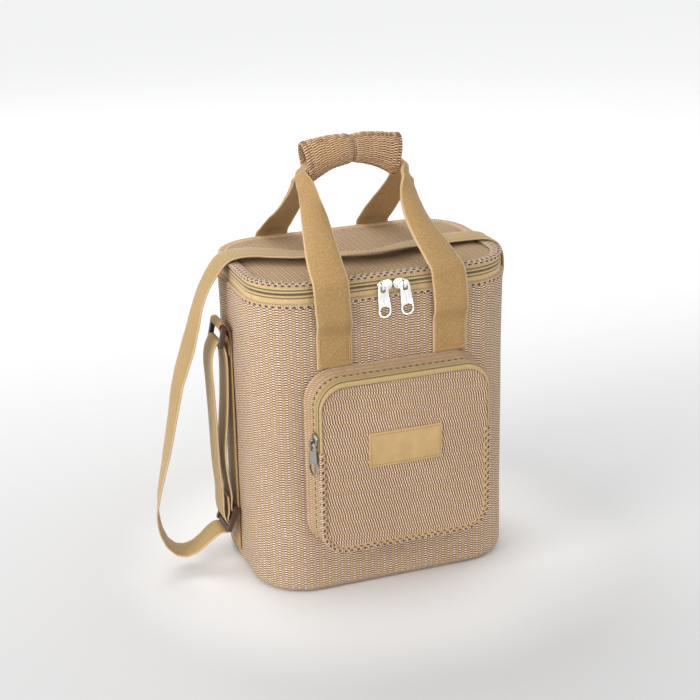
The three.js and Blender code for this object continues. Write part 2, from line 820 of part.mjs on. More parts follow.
function buildSliders() {
  const left = vec(slidersMeet - sliderOffset, frontTape, zipCentre);
  const right = vec(slidersMeet + sliderOffset, frontTape, zipCentre);
  sliderPair('slider_left', 'pull_left', left, frontTurn, 0);
  sliderPair('slider_right', 'pull_right', right, frontTurn, Math.PI);
  const pocketZip = bodyDepth / 2 + pocketBandStart + pocketTapeHalf + seam + coilHeight + coilClear;
  const side = vec(frontCentre - pocketWidth / 2 - 0.2, -pocketZip, pocketZipEnd + sliderLength / 2 + 1);
  const turn = new THREE.Euler(Math.PI / 2, 0, -Math.PI / 2, 'ZYX');
  sliderPair('pocket_slider', 'pocket_pull', side, turn, Math.PI / 2);
}

// Shoulder strap hardware, drawn for the left side and mirrored for the right
const sideWall = bodyWidth / 2;
const ringTop = { x: -(sideWall + ringOut), z: rimHeight - ringBelowRim };
const ringLean = { x: -3.7, z: -17.7 };
const ringBottom = { x: ringTop.x + ringLean.x, z: ringTop.z + ringLean.z };

// The adjuster leans: its frame runs down from its top bar, with the outer face to the left
const adjusterMiddle = { x: -(sideWall + adjusterOut), z: adjusterHeight };
const adjusterDown = { x: -0.357, z: -0.934 };
const adjusterPitch = adjusterSlot + adjusterBar;

// The frame's bars are thinner than its two sides, so that the webbing turns round them easily
function thinnedBars(plate, height) {
  const x = ringInside / 2;
  const near = ringThickness / 2;
  const front = boxBetween(vec(-x, -height, near), vec(x, height, frameThickness));
  const back = boxBetween(vec(-x, -height, -frameThickness), vec(x, height, -near));
  return fromManifold(toManifold(plate).subtract(toManifold(front)).subtract(toManifold(back)));
}

function barFrame(name, at, down, pitch, slots, bar, side) {
  const width = ringInside + 2 * ringBar;
  const height = slots * pitch + bar;
  const outline = roundedRectangle(width, height, 2.6);
  for (let i = 0; i < slots; i += 1) {
    const hole = roundedRectangle(ringInside, pitch - bar, 1, THREE.Path);
    const centre = height / 2 - bar / 2 - (i + 0.5) * pitch;
    outline.holes.push(new THREE.Path(hole.getPoints(2).map((p) => new THREE.Vector2(p.x, p.y + centre))));
  }
  const plate = roundedPlate(outline, frameThickness, 0.7);
  plate.translate(0, -height / 2 + bar / 2, -frameThickness / 2);
  const mesh = add(name, thinnedBars(plate, height), plastic());
  const up = vec(-down.x * side, 0, -down.z).normalize();
  const along = vec(0, 1, 0);
  const out = along.clone().cross(up);
  mesh.quaternion.setFromRotationMatrix(new THREE.Matrix4().makeBasis(along, up, out));
  mesh.position.set(at.x * side, sideCentre, at.z);
}

// A strap station: how far out from the side wall it is, and the way its width runs
const cloth = (out, y, z, across = [0, -1, 0]) => ({
  at: vec(-(sideWall + out), y, z),
  across: vec(...across),
  width: strapWidth,
  thickness: strapThickness,
});

const mirrored = (stations) => stations.map((s) => ({
  ...s,
  at: vec(-s.at.x, s.at.y, s.at.z),
}));

// Stations of webbing round a bar
function wrap(centre, radius, fromDegrees, toDegrees, steps) {
  return Array.from({ length: steps + 1 }, (_, i) => {
    const angle = THREE.MathUtils.degToRad(THREE.MathUtils.lerp(fromDegrees, toDegrees, i / steps));
    const out = -(centre.x + radius * Math.cos(angle)) - sideWall;
    return cloth(out, sideCentre, centre.z + radius * Math.sin(angle));
  });
}

// The side webbing runs up the wall from the base, and its top folds over the ring's bar
function sideWebbing() {
  const flat = 1.5 * seam + strapThickness / 2;
  const doubled = flat + strapThickness + seam;
  return [
    cloth(flat, sideCentre, baseSeamHeight + 3),
    cloth(flat, sideCentre, ringTop.z / 2),
    cloth(flat, sideCentre, ringTop.z - 24),
    cloth(flat, sideCentre, ringTop.z - 13),
    cloth(flat + 1.4, sideCentre, ringTop.z - 4.5),
    ...wrap(ringTop, wrapRadius, 55, 235, 6),
    cloth(doubled + 2.4, sideCentre, ringTop.z - 9),
    cloth(doubled + 0.2, sideCentre, ringTop.z - 16),
    cloth(doubled, sideCentre, ringTop.z - 29),
  ];
}

// A station beside the adjuster: how far down its frame, and how far out of it
function besideAdjuster(down, out) {
  const x = adjusterMiddle.x + adjusterDown.x * down + adjusterDown.z * out;
  const z = adjusterMiddle.z + adjusterDown.z * down - adjusterDown.x * out;
  return cloth(-x - sideWall, sideCentre, z);
}

// A station between the adjuster and the ring, at a share of the way up
const hanging = (out, share) =>
  cloth(out, sideCentre, THREE.MathUtils.lerp(adjusterHeight, ringBottom.z, share));

// A station of the long loop, at a share of the way from the adjuster's height to the lid's
const onLoop = (out, share, back, across) =>
  cloth(out, sideCentre + back, THREE.MathUtils.lerp(adjusterHeight, lidTop, share), across);

// The sewn end turns round the adjuster's middle bar, the strap climbs to the ring, comes down
// outside itself, and leaves through the adjuster's lower slot, behind the lowest bar
function strapDoubled() {
  const turn = Array.from({ length: 7 }, (_, i) => {
    const angle = Math.PI * (i / 6);
    return besideAdjuster(wrapRadius * Math.sin(angle), wrapRadius * Math.cos(angle));
  });
  const under = Array.from({ length: 4 }, (_, i) => {
    const angle = THREE.MathUtils.degToRad(-105 + 58 * i);
    return besideAdjuster(adjusterPitch + wrapRadius * Math.sin(angle), -wrapRadius * Math.cos(angle));
  });
  return [
    besideAdjuster(-21, 10.4),
    besideAdjuster(-13, 6.8),
    besideAdjuster(-6, 4.3),
    ...turn,
    besideAdjuster(-4.4, -2.1),
    besideAdjuster(-7, 0.2),
    besideAdjuster(-9.4, 2.6),
    besideAdjuster(-13.5, 4.2),
    besideAdjuster(-22.7, 6.9),
    hanging(9.8, 0.2291),
    hanging(11.8, 0.372),
    hanging(9.2, 0.5258),
    hanging(6.8, 0.6797),
    cloth(5.7, sideCentre, ringBottom.z - 22.3),
    cloth(6.6, sideCentre, ringBottom.z - 8.3),
    ...wrap(ringBottom, wrapRadius, 0, 160, 6),
    cloth(19.4, sideCentre, ringBottom.z - 7.3),
    cloth(21.2, sideCentre, ringBottom.z - 19.3),
    hanging(20.4, 0.7676),
    hanging(19.2, 0.5478),
    hanging(18.3, 0.3115),
    cloth(16.3, sideCentre, adjusterHeight + 25.7),
    besideAdjuster(-6, 10),
    besideAdjuster(0.8, 6.4),
    besideAdjuster(4.6, 3),
    besideAdjuster(6.3, -0.2),
    ...under.slice(1),
  ];
}

// The long loop hangs from the lid's left edge and comes up to the adjuster
function strapLoop() {
  return [
    onLoop(18.6, -0.0526, 0),
    onLoop(22.6, -0.0572, 0),
    onLoop(28.4, -0.0718, 0, [-0.02, -1, 0]),
    onLoop(36.4, -0.0964, 0, [-0.08, -1, 0]),
    onLoop(45.4, -0.1179, 0, [-0.16, -0.98, -0.02]),
    onLoop(54.8, -0.1249, 0, [-0.22, -0.97, 0]),
    onLoop(63.4, -0.1141, 0, [-0.28, -0.94, 0.1]),
    onLoop(71.4, -0.0818, 0, [-0.32, -0.9, 0.26]),
    onLoop(77.6, -0.0242, 0, [-0.3, -0.88, 0.34]),
    onLoop(79.8, 0.0449, 0, [-0.24, -0.9, 0.36]),
    onLoop(77.4, 0.1218, 0, [-0.12, -0.93, 0.35]),
    onLoop(72.2, 0.2063, 0, [-0.06, -0.95, 0.3]),
    onLoop(66.4, 0.2985, 0, [0.02, -0.96, 0.29]),
    onLoop(60.4, 0.4022, 0, [0.06, -0.95, 0.3]),
    onLoop(52.6, 0.5444, 0, [0.14, -0.95, 0.27]),
    onLoop(47, 0.6135, 0, [0.2, -0.95, 0.2]),
    onLoop(40.3, 0.6865, 0, [0.21, -0.96, 0.15]),
    onLoop(33.7, 0.7687, 0.4, [0.14, -0.98, 0.13]),
    onLoop(27.5, 0.8475, 1, [0.07, -0.99, 0.12]),
    onLoop(20.2, 0.9116, 1.7, [0.05, -1, 0.06]),
    onLoop(11.6, 0.9627, 2.3, [0.06, -1, 0]),
  ];
}

// Over the lid the strap sweeps forward between the handles, with its front edge raised
const overLid = lidTop + seam + strapThickness / 2;

function strapOverLid() {
  const tilted = (share, y, lift, degrees) => {
    const angle = THREE.MathUtils.degToRad(degrees);
    const across = [0, -Math.cos(angle), Math.sin(angle)];
    return cloth(-(1 + share) * sideWall, y, overLid + lift, across);
  };
  return [
    cloth(2.6, 18.6, lidTop + 0.6, [0.06, -1, -0.02]),
    tilted(-0.938, 17.6, 3.8, 0),
    tilted(-0.800, 14.5, 4.8, 0),
    tilted(-0.662, 6.5, 3.9, 0),
    tilted(-0.523, -3.5, 3.3, 3),
    tilted(-0.354, -13.5, 3.4, 8),
    tilted(-0.169, -22, 3.5, 11),
    tilted(0.023, -27.5, 4.3, 14),
    tilted(0.185, -24.5, 4.2, 12),
    tilted(0.338, -19.5, 3.9, 8),
    tilted(0.492, -15.5, 3.6, 5),
    tilted(0.646, -10, 2.6, 1),
    tilted(0.800, -7, 1.7, 0),
    tilted(0.923, -9.5, 1.9, 0),
  ];
}

function strapFallRight() {
  const falling = (out, y, share) =>
    cloth(out, y, THREE.MathUtils.lerp(ringTop.z, lidTop, share));
  return mirrored([
    falling(1.8, -12, 0.9983),
    falling(8.6, -11, 0.8647),
    falling(13.4, -6, 0.6271),
    falling(16.2, 2.4, 0.363),
    falling(17.4, 10, 0.1238),
  ]);
}

// The strap's right end goes round the ring's lower bar and is sewn to itself
function strapEndRight() {
  return mirrored([
    cloth(17.7, sideCentre - 1, ringBottom.z + 13.7),
    cloth(17.3, sideCentre, ringBottom.z + 6.7),
    ...wrap(ringBottom, wrapRadius, 180, 450, 9),
    cloth(14.2, sideCentre, ringBottom.z + 5.7),
    cloth(15.3, sideCentre, ringBottom.z + 10.7),
  ]);
}

function buildShoulderStrap() {
  for (const [name, side] of [['left', 1], ['right', -1]]) {
    const route = side === 1 ? sideWebbing() : mirrored(sideWebbing());
    add(`side_webbing_${name}`, strip(route, 2), webbing());
    barFrame(`ring_${name}`, ringTop, ringLean, ringPitch, 1, ringBar, side);
  }
  const adjusterTop = besideAdjuster(-adjusterPitch, 0).at;
  barFrame('adjuster_left', adjusterTop, adjusterDown, adjusterPitch, 2, adjusterBar, 1);
  const pieces = [
    ['strap_doubled_left', strapDoubled()],
    ['strap_loop_left', strapLoop()],
    ['strap_over_lid', strapOverLid()],
    ['strap_fall_right', strapFallRight()],
    ['strap_end_right', strapEndRight()],
  ];
  const whole = pieces.flatMap(([, stations]) => stations);
  let from = 0;
  for (const [name, stations] of pieces) {
    const to = Math.min(from + stations.length, whole.length - 1);
    add(name, strip(whole, 2, from, to), strapCloth());
    from = to;
  }
}

buildBody();
buildLid();
buildPocket();
buildHandles();
buildSliders();
buildShoulderStrap();

export default bag;
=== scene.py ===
"""A woven cooler bag with a zipped lid, a front pocket, two handles and a shoulder strap."""
import math
from contextlib import contextmanager

import bmesh
import bpy
from mathutils import Matrix, Vector, noise


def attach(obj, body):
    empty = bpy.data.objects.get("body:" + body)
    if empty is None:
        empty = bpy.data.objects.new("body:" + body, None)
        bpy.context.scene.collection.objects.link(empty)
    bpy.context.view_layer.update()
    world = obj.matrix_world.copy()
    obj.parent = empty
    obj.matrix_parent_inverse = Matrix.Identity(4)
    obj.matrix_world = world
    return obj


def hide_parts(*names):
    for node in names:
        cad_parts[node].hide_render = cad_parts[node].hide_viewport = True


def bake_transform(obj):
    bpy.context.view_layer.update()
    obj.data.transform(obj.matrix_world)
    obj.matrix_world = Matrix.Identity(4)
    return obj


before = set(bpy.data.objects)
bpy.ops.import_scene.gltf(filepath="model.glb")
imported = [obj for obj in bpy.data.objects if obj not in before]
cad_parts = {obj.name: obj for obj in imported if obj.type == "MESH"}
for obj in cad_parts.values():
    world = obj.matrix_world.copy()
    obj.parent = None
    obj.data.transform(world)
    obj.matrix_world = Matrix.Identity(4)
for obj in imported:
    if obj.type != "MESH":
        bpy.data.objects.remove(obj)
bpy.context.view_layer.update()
MM = 0.001


# Shader helpers

MIX_INPUTS = (0, 6, 7)
MIX_RESULT = 2


class Nodes:
    """A shader tree, with short ways to put nodes into it"""

    def __init__(self, tree):
        self.tree = tree

    def feed(self, socket, value):
        """Joins a socket to another, or sets its value"""
        if isinstance(value, bpy.types.NodeSocket):
            self.tree.links.new(value, socket)
        else:
            socket.default_value = value

    def put(self, kind, inputs=None, **settings):
        """A node with its settings made and its inputs fed"""
        made = self.tree.nodes.new("ShaderNode" + kind)
        for key, value in settings.items():
            setattr(made, key, value)
        for key, value in (inputs or {}).items():
            self.feed(made.inputs[key], value)
        return made

    def calc(self, operation, *values):
        return self.put("Math", dict(enumerate(values)), operation=operation).outputs[0]

    def minus(self, a, b):
        return self.calc("SUBTRACT", a, b)

    def over(self, a, b):
        return self.calc("DIVIDE", a, b)

    def size(self, a):
        return self.calc("ABSOLUTE", a)

    def times(self, a, b, plus=None):
        return self.calc("MULTIPLY", a, b) if plus is None else self.calc("MULTIPLY_ADD", a, b, plus)

    def mix(self, share, first, second, how="MIX"):
        """Two colours mixed by a share from 0 to 1"""
        made = self.put("Mix", data_type="RGBA", blend_type=how)
        for place, value in zip(MIX_INPUTS, (share, first, second)):
            self.feed(made.inputs[place], (*value, 1) if isinstance(value, tuple) else value)
        return made.outputs[MIX_RESULT]

    def ramp(self, value, low, high, from_low=0.0, from_high=1.0):
        """A value carried smoothly from one range to another"""
        return self.put("MapRange", {
            "Value": value, "From Min": from_low, "From Max": from_high, "To Min": low, "To Max": high,
        }, interpolation_type="SMOOTHSTEP").outputs[0]

    def split(self, place):
        return self.put("SeparateXYZ", {0: place}).outputs

    def where(self):
        """The place on the piece, in metres"""
        return self.put("TexCoord").outputs["Object"]

    def cloud(self, scale, detail, place=None, result="Fac"):
        """Noise over the piece, or over another place"""
        inputs = {"Vector": self.where() if place is None else place, "Scale": scale, "Detail": detail}
        return self.put("TexNoise", inputs).outputs[result]

    def pores(self, scale):
        return self.put("TexVoronoi", {"Vector": self.where(), "Scale": scale}).outputs["Distance"]

    def away_from(self, spot):
        inputs = {0: self.where(), 1: spot}
        return self.put("VectorMath", inputs, operation="DISTANCE").outputs["Value"]

    def close(self, end, **values):
        """Feeds a group's outputs"""
        for key, value in values.items():
            self.feed(end[key], value)
        return self.tree


def shader_group(name, numbers, results, placed=True):
    """A group under way, the outputs of its first node and the inputs of its last"""
    tree = bpy.data.node_groups.new(name, "ShaderNodeTree")
    face = tree.interface
    if placed:
        face.new_socket(name="Place", in_out="INPUT", socket_type="NodeSocketVector")
    for key, value in numbers.items():
        face.new_socket(name=key, in_out="INPUT", socket_type="NodeSocketFloat").default_value = value
    for key in results:
        face.new_socket(name=key, in_out="OUTPUT", socket_type="NodeSocketFloat")
    start, end = tree.nodes.new("NodeGroupInput"), tree.nodes.new("NodeGroupOutput")
    return Nodes(tree), start.outputs, end.inputs


def woven_cells():
    """Yarns that cross in cells: columns side by side, every second one half a row higher"""
    numbers = {"Column": 0.0031, "Row": 0.00245, "Lean": 0.15, "Share": 0.4}
    t, start, end = shader_group("Woven cells", numbers, ("Height", "Slot", "Edge", "Stripe", "Chance"))
    place = t.split(start["Place"])
    across = t.over(place["X"], start["Column"])
    along = t.over(place["Y"], start["Row"])
    column = t.calc("FLOOR", across)
    part = t.calc("FRACT", across)
    stripe = t.calc("FLOORED_MODULO", column, 2.0)
    lean = t.times(t.minus(part, 0.5), start["Lean"])
    uneven = t.put("TexWhiteNoise", {"W": column}, noise_dimensions="1D").outputs["Value"]
    shifted = t.calc("ADD", t.times(stripe, 0.5, t.times(uneven, 0.5, along)), lean)
    cell = t.put("CombineXYZ", {0: column, 1: t.calc("FLOOR", shifted)}).outputs[0]
    chance = t.put("TexWhiteNoise", {0: cell}, noise_dimensions="2D").outputs["Value"]
    side = t.size(t.times(part, 2.0, -1.0))
    off = t.size(t.times(t.calc("FRACT", shifted), 2.0, -1.0))
    between = t.ramp(t.minus(off, t.minus(0.86, start["Share"])), 0, 1, 0, 0.28)
    slot = t.times(between, t.ramp(side, 1, 0, 0.6, 0.96))
    flank = t.minus(1.0, t.times(t.calc("POWER", side, 3.0), 0.6))
    return t.close(end, Height=t.times(flank, t.minus(1.0, t.times(slot, 0.9))), Slot=slot,
                   Edge=t.ramp(side, 0, 1, 0.72, 1.0), Stripe=stripe, Chance=chance)


def dash_row():
    """One row of dashes along a sewn or folded edge"""
    t, start, end = shader_group("Dash row", {"Offset": 0.002, "Half height": 0.001, "Pitch": 0.0065,
                                              "Share": 0.5, "Shift": 0.0, "Slant": 0.0}, ("Mask",))
    place = t.split(start["Place"])
    above = t.minus(place["X"], start["Offset"])
    along = t.over(t.times(above, start["Slant"], place["Y"]), start["Pitch"])
    turn = t.minus(t.calc("FRACT", t.calc("ADD", along, start["Shift"])), 0.5)
    ways = t.over(t.times(turn, 2.0), start["Share"]), t.over(above, start["Half height"])
    square = t.calc("ADD", *(t.calc("POWER", t.size(way), 2.5) for way in ways))
    return t.close(end, Mask=t.ramp(square, 1, 0, 0.5, 1.5))


def shade_drift():
    """Slow changes of tone over a piece, as dye and handling leave on cloth and plastic"""
    t, start, end = shader_group("Shade drift", {"Scale": 14.0, "Amount": 0.1}, ("Tone",), placed=False)
    centred = t.minus(t.cloud(start["Scale"], 3.0), 0.5)
    return t.close(end, Tone=t.times(centred, t.times(start["Amount"], 2.0), 1.0))


CELLS = woven_cells()
DASHES = dash_row()
DRIFT = shade_drift()


class Finish(Nodes):
    """A material under way"""

    def __init__(self, name):
        self.material = bpy.data.materials.new(name)
        self.material.use_nodes = True
        super().__init__(self.material.node_tree)

    def toned(self, colour, scale, amount):
        """A colour with slow changes of tone"""
        tone = self.put("Group", {"Scale": scale, "Amount": amount}, node_tree=DRIFT).outputs[0]
        grey = self.put("CombineColor", {0: tone, 1: tone, 2: tone}).outputs[0]
        return self.mix(1.0, colour, grey, "MULTIPLY")

    def cells(self, column, row, lean, share=0.4, wander=0.0):
        """The woven cells laid on the piece's own cloth map, whose columns may wander a little"""
        laid = self.put("UVMap", uv_map="cloth").outputs[0]
        cloud = self.cloud(26.0, 1.0, laid, "Color")
        drawn = self.put("VectorMath", {0: cloud, 1: (wander * MM,) * 3, 2: laid}, operation="MULTIPLY_ADD")
        made = self.put("Group", {"Place": drawn.outputs[0], "Column": column * MM, "Row": row * MM,
                                  "Lean": lean, "Share": share}, node_tree=CELLS)
        return made.outputs, laid

    def done(self, colour, rough, height=None, depth=0.0, strength=1.0, others=None):
        """Feeds the shader, with a bump that is depth millimetres high, and gives the material"""
        sockets = {"Base Color": colour, "Roughness": rough, **(others or {})}
        if height is not None:
            bump = self.put("Bump", {"Height": height, "Distance": depth * MM, "Strength": strength})
            sockets["Normal"] = bump.outputs[0]
        for key, value in sockets.items():
            self.feed(self.tree.nodes["Principled BSDF"].inputs[key], value)
        return self.material


# Finishes

DULL_CLOTH = {"Sheen Weight": 0.03, "Specular IOR Level": 0.15}


def woven_colour(t, cells, rose, straw, contrast=1.0, line=0.4, weak=0.3, rib_shade=0.0, painted_highlight=0.8):
    """The yarn's colour in each cell: a painted highlight on the bead, painted shade in the slot between two
    beads, along the column edges and on the low flanks of ribs
    """
    stripe, height = cells["Stripe"], cells["Height"]
    # Painted highlight: a pale pinkish colour laid on the crown of each bead
    highlight_mask = t.times(t.ramp(height, 0, 1, 0.5, 0.95), t.times(cells["Chance"], 0.6 * painted_highlight, 0.4 * painted_highlight))
    highlight_mask = t.times(highlight_mask, t.times(stripe, -2 * weak, 1.0))
    bead = t.mix(highlight_mask, t.mix(stripe, rose, straw), (0.97, 0.85, 0.76))
    # Painted shade: near-black colours for the slots between the beads
    dark = t.mix(stripe, (0.055, 0.02, 0.014), (0.10, 0.055, 0.018))
    slotted = t.mix(t.times(cells["Slot"], t.times(stripe, -weak * contrast, contrast)), bead, dark)
    # Painted shade on the low flanks of the ribs
    if rib_shade:
        flank = t.times(t.minus(1.0, height), rib_shade)
        slotted = t.mix(t.calc("MINIMUM", flank, 0.85), slotted, (0.16, 0.085, 0.035))
    # Painted shade: a dark line along the edges of each column
    return t.mix(t.times(cells["Edge"], line), slotted, (0.15, 0.085, 0.04))


def woven_finish(name, rose, straw, column=3.1, row=2.45, lean=0.0, depth=0.5, share=0.46, contrast=1.0,
                 line=0.4, weak=0.3, rib_shade=0.0, painted_highlight=0.8):
    """Coarse paper-yarn cloth: rose and straw columns with painted highlights on the beads and painted shade
    in the slots between the crossings
    """
    t = Finish(name)
    cells, _ = t.cells(column, row, lean, share, 1.6)
    woven = woven_colour(t, cells, rose, straw, contrast, line, weak, rib_shade, painted_highlight)
    return t.done(t.toned(woven, 11.0, 0.12), t.times(cells["Chance"], 0.16, 0.66), cells["Height"], depth,
                  others=DULL_CLOTH)


def hem_finish(name, rose, straw, rows, slant=0.0, pitch=6.5, behind=None, painted_highlight=0.6):
    """Folded woven edge: close weave with rows of sunk dashes where its loops pass over, painted dark as
    shade. At the back of the lid the rows are lost, and the edge takes the colours given as behind."""
    t = Finish(name)
    cells, place = t.cells(3.1, 2.45, 0.9, 0.36)
    if behind:
        back = t.ramp(t.split(t.where())["Y"], 0, 1, -0.02, 0.03)
        rose, straw = (t.mix(back, near, far) for near, far in zip((rose, straw), behind))
    woven = woven_colour(t, cells, rose, straw, 0.8, painted_highlight=painted_highlight)
    dark = 0.0
    for offset, half, share, shift in rows:
        row = t.put("Group", {
            "Place": place, "Offset": offset * MM, "Half height": half * MM, "Pitch": pitch * MM,
            "Share": share, "Shift": shift, "Slant": slant}, node_tree=DASHES)
        dark = t.calc("MAXIMUM", row.outputs[0], dark)
    if behind:
        dark = t.times(dark, t.minus(1.0, back))
    # Painted shade: the sunk dashes take a near-black colour
    edged = t.mix(t.times(dark, t.times(cells["Chance"], 0.2, 0.8)), woven, (0.06, 0.03, 0.016))
    raised = t.minus(t.times(cells["Height"], 0.4), dark)
    return t.done(t.toned(edged, 11.0, 0.12), 0.72, raised, 0.8, others=DULL_CLOTH)


def webbing_finish(name, colour, light, column=1.7, row=1.3, depth=0.2, groove=None, half=None):
    """Tightly woven webbing: fine ribs, uneven threads, painted shade in its sunk slots and painted
    highlights along its outer edges. A zip's tape also has painted shade in a groove, a little way out from
    the middle of the zip"""
    t = Finish(name)
    cells, place = t.cells(column, row, 0.5, 0.3)
    uneven = t.ramp(t.cloud(420.0, 2.0, place), -0.35, 0.55, 0.3, 0.7)
    thread = t.mix(t.times(cells["Chance"], 0.3, uneven), colour, light)
    if half:
        # Painted highlight: a pale colour along both outer edges of the webbing
        side = t.size(t.minus(t.split(place)["X"], half * MM))
        edge_highlight = t.ramp(side, 0, 0.6, (half - 1.9) * MM, (half - 1.1) * MM)
        thread = t.mix(edge_highlight, thread, (0.78, 0.58, 0.36))
    # Painted shade: the sunk slots and column edges are darkened to half the colour
    sunk = t.calc("MAXIMUM", t.times(cells["Slot"], 0.7), t.times(cells["Edge"], 0.35))
    woven = t.mix(sunk, thread, tuple(0.5 * c for c in colour))
    if groove:
        # Painted shade: a dark line along the groove of a zip's tape
        out = t.size(t.minus(t.split(place)["X"], groove * MM))
        woven = t.mix(t.ramp(out, 0.85, 0, 0.3 * MM, 0.95 * MM), woven, tuple(0.28 * c for c in colour))
    return t.done(t.toned(woven, 22.0, 0.1), 0.7, cells["Height"], depth, 0.8,
                  {"Sheen Weight": 0.2, "Sheen Roughness": 0.4})


def tape_finish(name, colour, light):
    return webbing_finish(name, colour, light, 0.9, 0.7, 0.1, groove=3.55)


def thread_finish(name, colour):
    """Sewing thread, with its twist, whose grooves are painted darker as shade"""
    t = Finish(name)
    wave = t.put("TexWave", {"Vector": t.where(), "Scale": 900.0, "Distortion": 1.5})
    twist = wave.outputs["Fac"]
    # Painted shade: the thread is darkened where its twist sinks
    return t.done(t.mix(twist, tuple(0.6 * c for c in colour), colour), 0.6, twist, 0.1)


def grained_finish(name, colour, drift, grain, rough, depth, metallic=0.0):
    """Metal with fine rubbing marks, or moulded plastic with a spark texture"""
    t = Finish(name)
    marks = t.cloud(*grain)
    return t.done(t.toned(colour, *drift), t.ramp(marks, *rough), marks, depth, others={"Metallic": metallic})


def nickel_finish(name, colour):
    return grained_finish(name, colour, (160.0, 0.1), (420.0, 4.0), (0.1, 0.26, 0.3, 0.75), 0.03, 1.0)


def foil_finish():
    """Silvery liner film with soft creases"""
    t = Finish("foil liner")
    fine = t.cloud(130.0, 3.0)
    return t.done(t.toned((0.72, 0.73, 0.75), 30.0, 0.1), t.ramp(fine, 0.24, 0.42),
                  t.times(fine, 0.6, t.pores(55.0)), 0.8, 0.7, {"Metallic": 0.85})


def foam_finish():
    """White closed-cell foam"""
    t = Finish("closed-cell foam")
    return t.done(t.toned((0.83, 0.81, 0.77), 40.0, 0.06), 0.85, t.pores(900.0), 0.3)


def patch_finish():
    """Smooth tan patch cloth with a faint nap"""
    t = Finish("tan patch")
    nap = t.cloud(700.0, 5.0)
    tan = t.mix(t.ramp(t.cloud(90.0, 4.0), 0.3, 0.7, 0.3, 0.7), (0.45, 0.28, 0.115), (0.55, 0.37, 0.165))
    return t.done(t.toned(tan, 40.0, 0.1), t.ramp(nap, 0.5, 0.75), nap, 0.12)


ROSE = (0.66, 0.425, 0.31)
STRAW = (0.57, 0.39, 0.19)
WOVEN = woven_finish("woven yarn", ROSE, STRAW, line=0.7)
LID_TOP = woven_finish("woven lid top", (0.81, 0.57, 0.345), (0.71, 0.50, 0.26), depth=0.8, line=0.85,
                       weak=0.05, rib_shade=1.1, painted_highlight=0.2)
FRONT = woven_finish("woven front", (0.70, 0.445, 0.305), (0.60, 0.40, 0.20), 3.35, 2.5, 0.5, line=0.75,
                     weak=0.08, painted_highlight=0.4)
GRIP = woven_finish("woven grip", (0.68, 0.405, 0.205), (0.62, 0.37, 0.165), 4.2, 2.7, 0.35, 0.9, 0.5, 0.9,
                    0.5, 0.05, painted_highlight=0.3)
# A row of dashes has a place across the hem, half its height, its share of the pitch and a shift
RIM_EDGE = hem_finish("woven rim edge", ROSE, STRAW, [(2.4, 1.0, 0.5, 0)], pitch=6.469)
LID_EDGE = hem_finish("woven lid edge", (0.66, 0.45, 0.32), (0.54, 0.38, 0.21),
                      [(-0.8, 0.9, 0.5, 0), (3.0, 1.8, 0.5, 0.5), (7.6, 1.5, 0.4, 0.08)],
                      behind=((0.62, 0.40, 0.22), (0.50, 0.325, 0.13)))
POCKET_EDGE = hem_finish("woven pocket edge", (0.61, 0.39, 0.24), (0.54, 0.355, 0.165),
                         [(1.9, 0.8, 0.45, 0), (4.7, 0.75, 0.42, 0.5)], 0.7, painted_highlight=0.3)
GUSSET = hem_finish("woven pocket side", (0.55, 0.35, 0.205), (0.45, 0.295, 0.135), [(18.7, 1.3, 0.5, 0)],
                    painted_highlight=0.45)
WEBBING = webbing_finish("khaki webbing", (0.405, 0.236, 0.079), (0.52, 0.33, 0.135), half=17.25)
STRAPPING = webbing_finish("light webbing", (0.40, 0.257, 0.086), (0.485, 0.32, 0.128), half=15)
TAPE = tape_finish("zip tape", (0.61, 0.44, 0.21), (0.72, 0.54, 0.30))
# Painted light and shade: the pocket zip's two tapes are one tape, coloured darker on its outer side and
# lighter on its inner side
SHADED_POCKET_TAPE = tape_finish("pocket zip tape in painted shade", (0.46, 0.315, 0.13), (0.55, 0.40, 0.185))
LIT_POCKET_TAPE = tape_finish("pocket zip tape, painted lit", (0.50, 0.345, 0.145), (0.60, 0.44, 0.21))
LINING = webbing_finish("pocket lining", (0.58, 0.46, 0.28), (0.68, 0.56, 0.36), 0.8, 0.8, 0.08)
COIL = thread_finish("zip coil", (0.46, 0.34, 0.18))
THREAD = thread_finish("tan thread", (0.70, 0.49, 0.26))
SEAM_THREAD = thread_finish("brown thread", (0.22, 0.13, 0.07))
PATCH_THREAD = thread_finish("patch thread", (0.36, 0.22, 0.08))
NICKEL = nickel_finish("bright nickel", (0.93, 0.92, 0.90))
# Painted shade: a darker copy of the bright nickel for the pocket's slider and pull, standing in for dark
# reflections
SHADED_NICKEL = nickel_finish("nickel with painted shade", (0.40, 0.38, 0.35))
PLASTIC = grained_finish("dark brown plastic", (0.075, 0.036, 0.026), (90.0, 0.3), (1500.0, 2.0),
                         (0.28, 0.46), 0.05)
FOIL = foil_finish()
FOAM = foam_finish()
PATCH = patch_finish()


# Camera, lights and floor

def place_camera():
    right = Vector((0.93679, -0.34932, -0.01997)).normalized()
    up = Vector((0.13568, 0.31006, 0.94099)).normalized()
    back = right.cross(up).normalized()
    turned = Matrix((right, back.cross(right), back)).transposed()
    bpy.ops.object.camera_add(location=(-0.5002, -1.3403, 0.7217))
    camera = bpy.context.object
    camera.rotation_euler = turned.to_euler()
    camera.data.lens = 79.43
    camera.data.sensor_width = 36
    camera.data.clip_end = 200
    bpy.context.scene.camera = camera


def softbox(name, place, size, power, tint=(1, 1, 1)):
    bpy.ops.object.light_add(type="AREA", location=place)
    lamp = bpy.context.object
    lamp.name = name
    lamp.data.shape = "DISK"
    lamp.data.size = size
    lamp.data.energy = power
    lamp.data.color = tint
    aim = Vector((0, 0, 0.16)) - Vector(place)
    lamp.rotation_euler = aim.to_track_quat("-Z", "Y").to_euler()


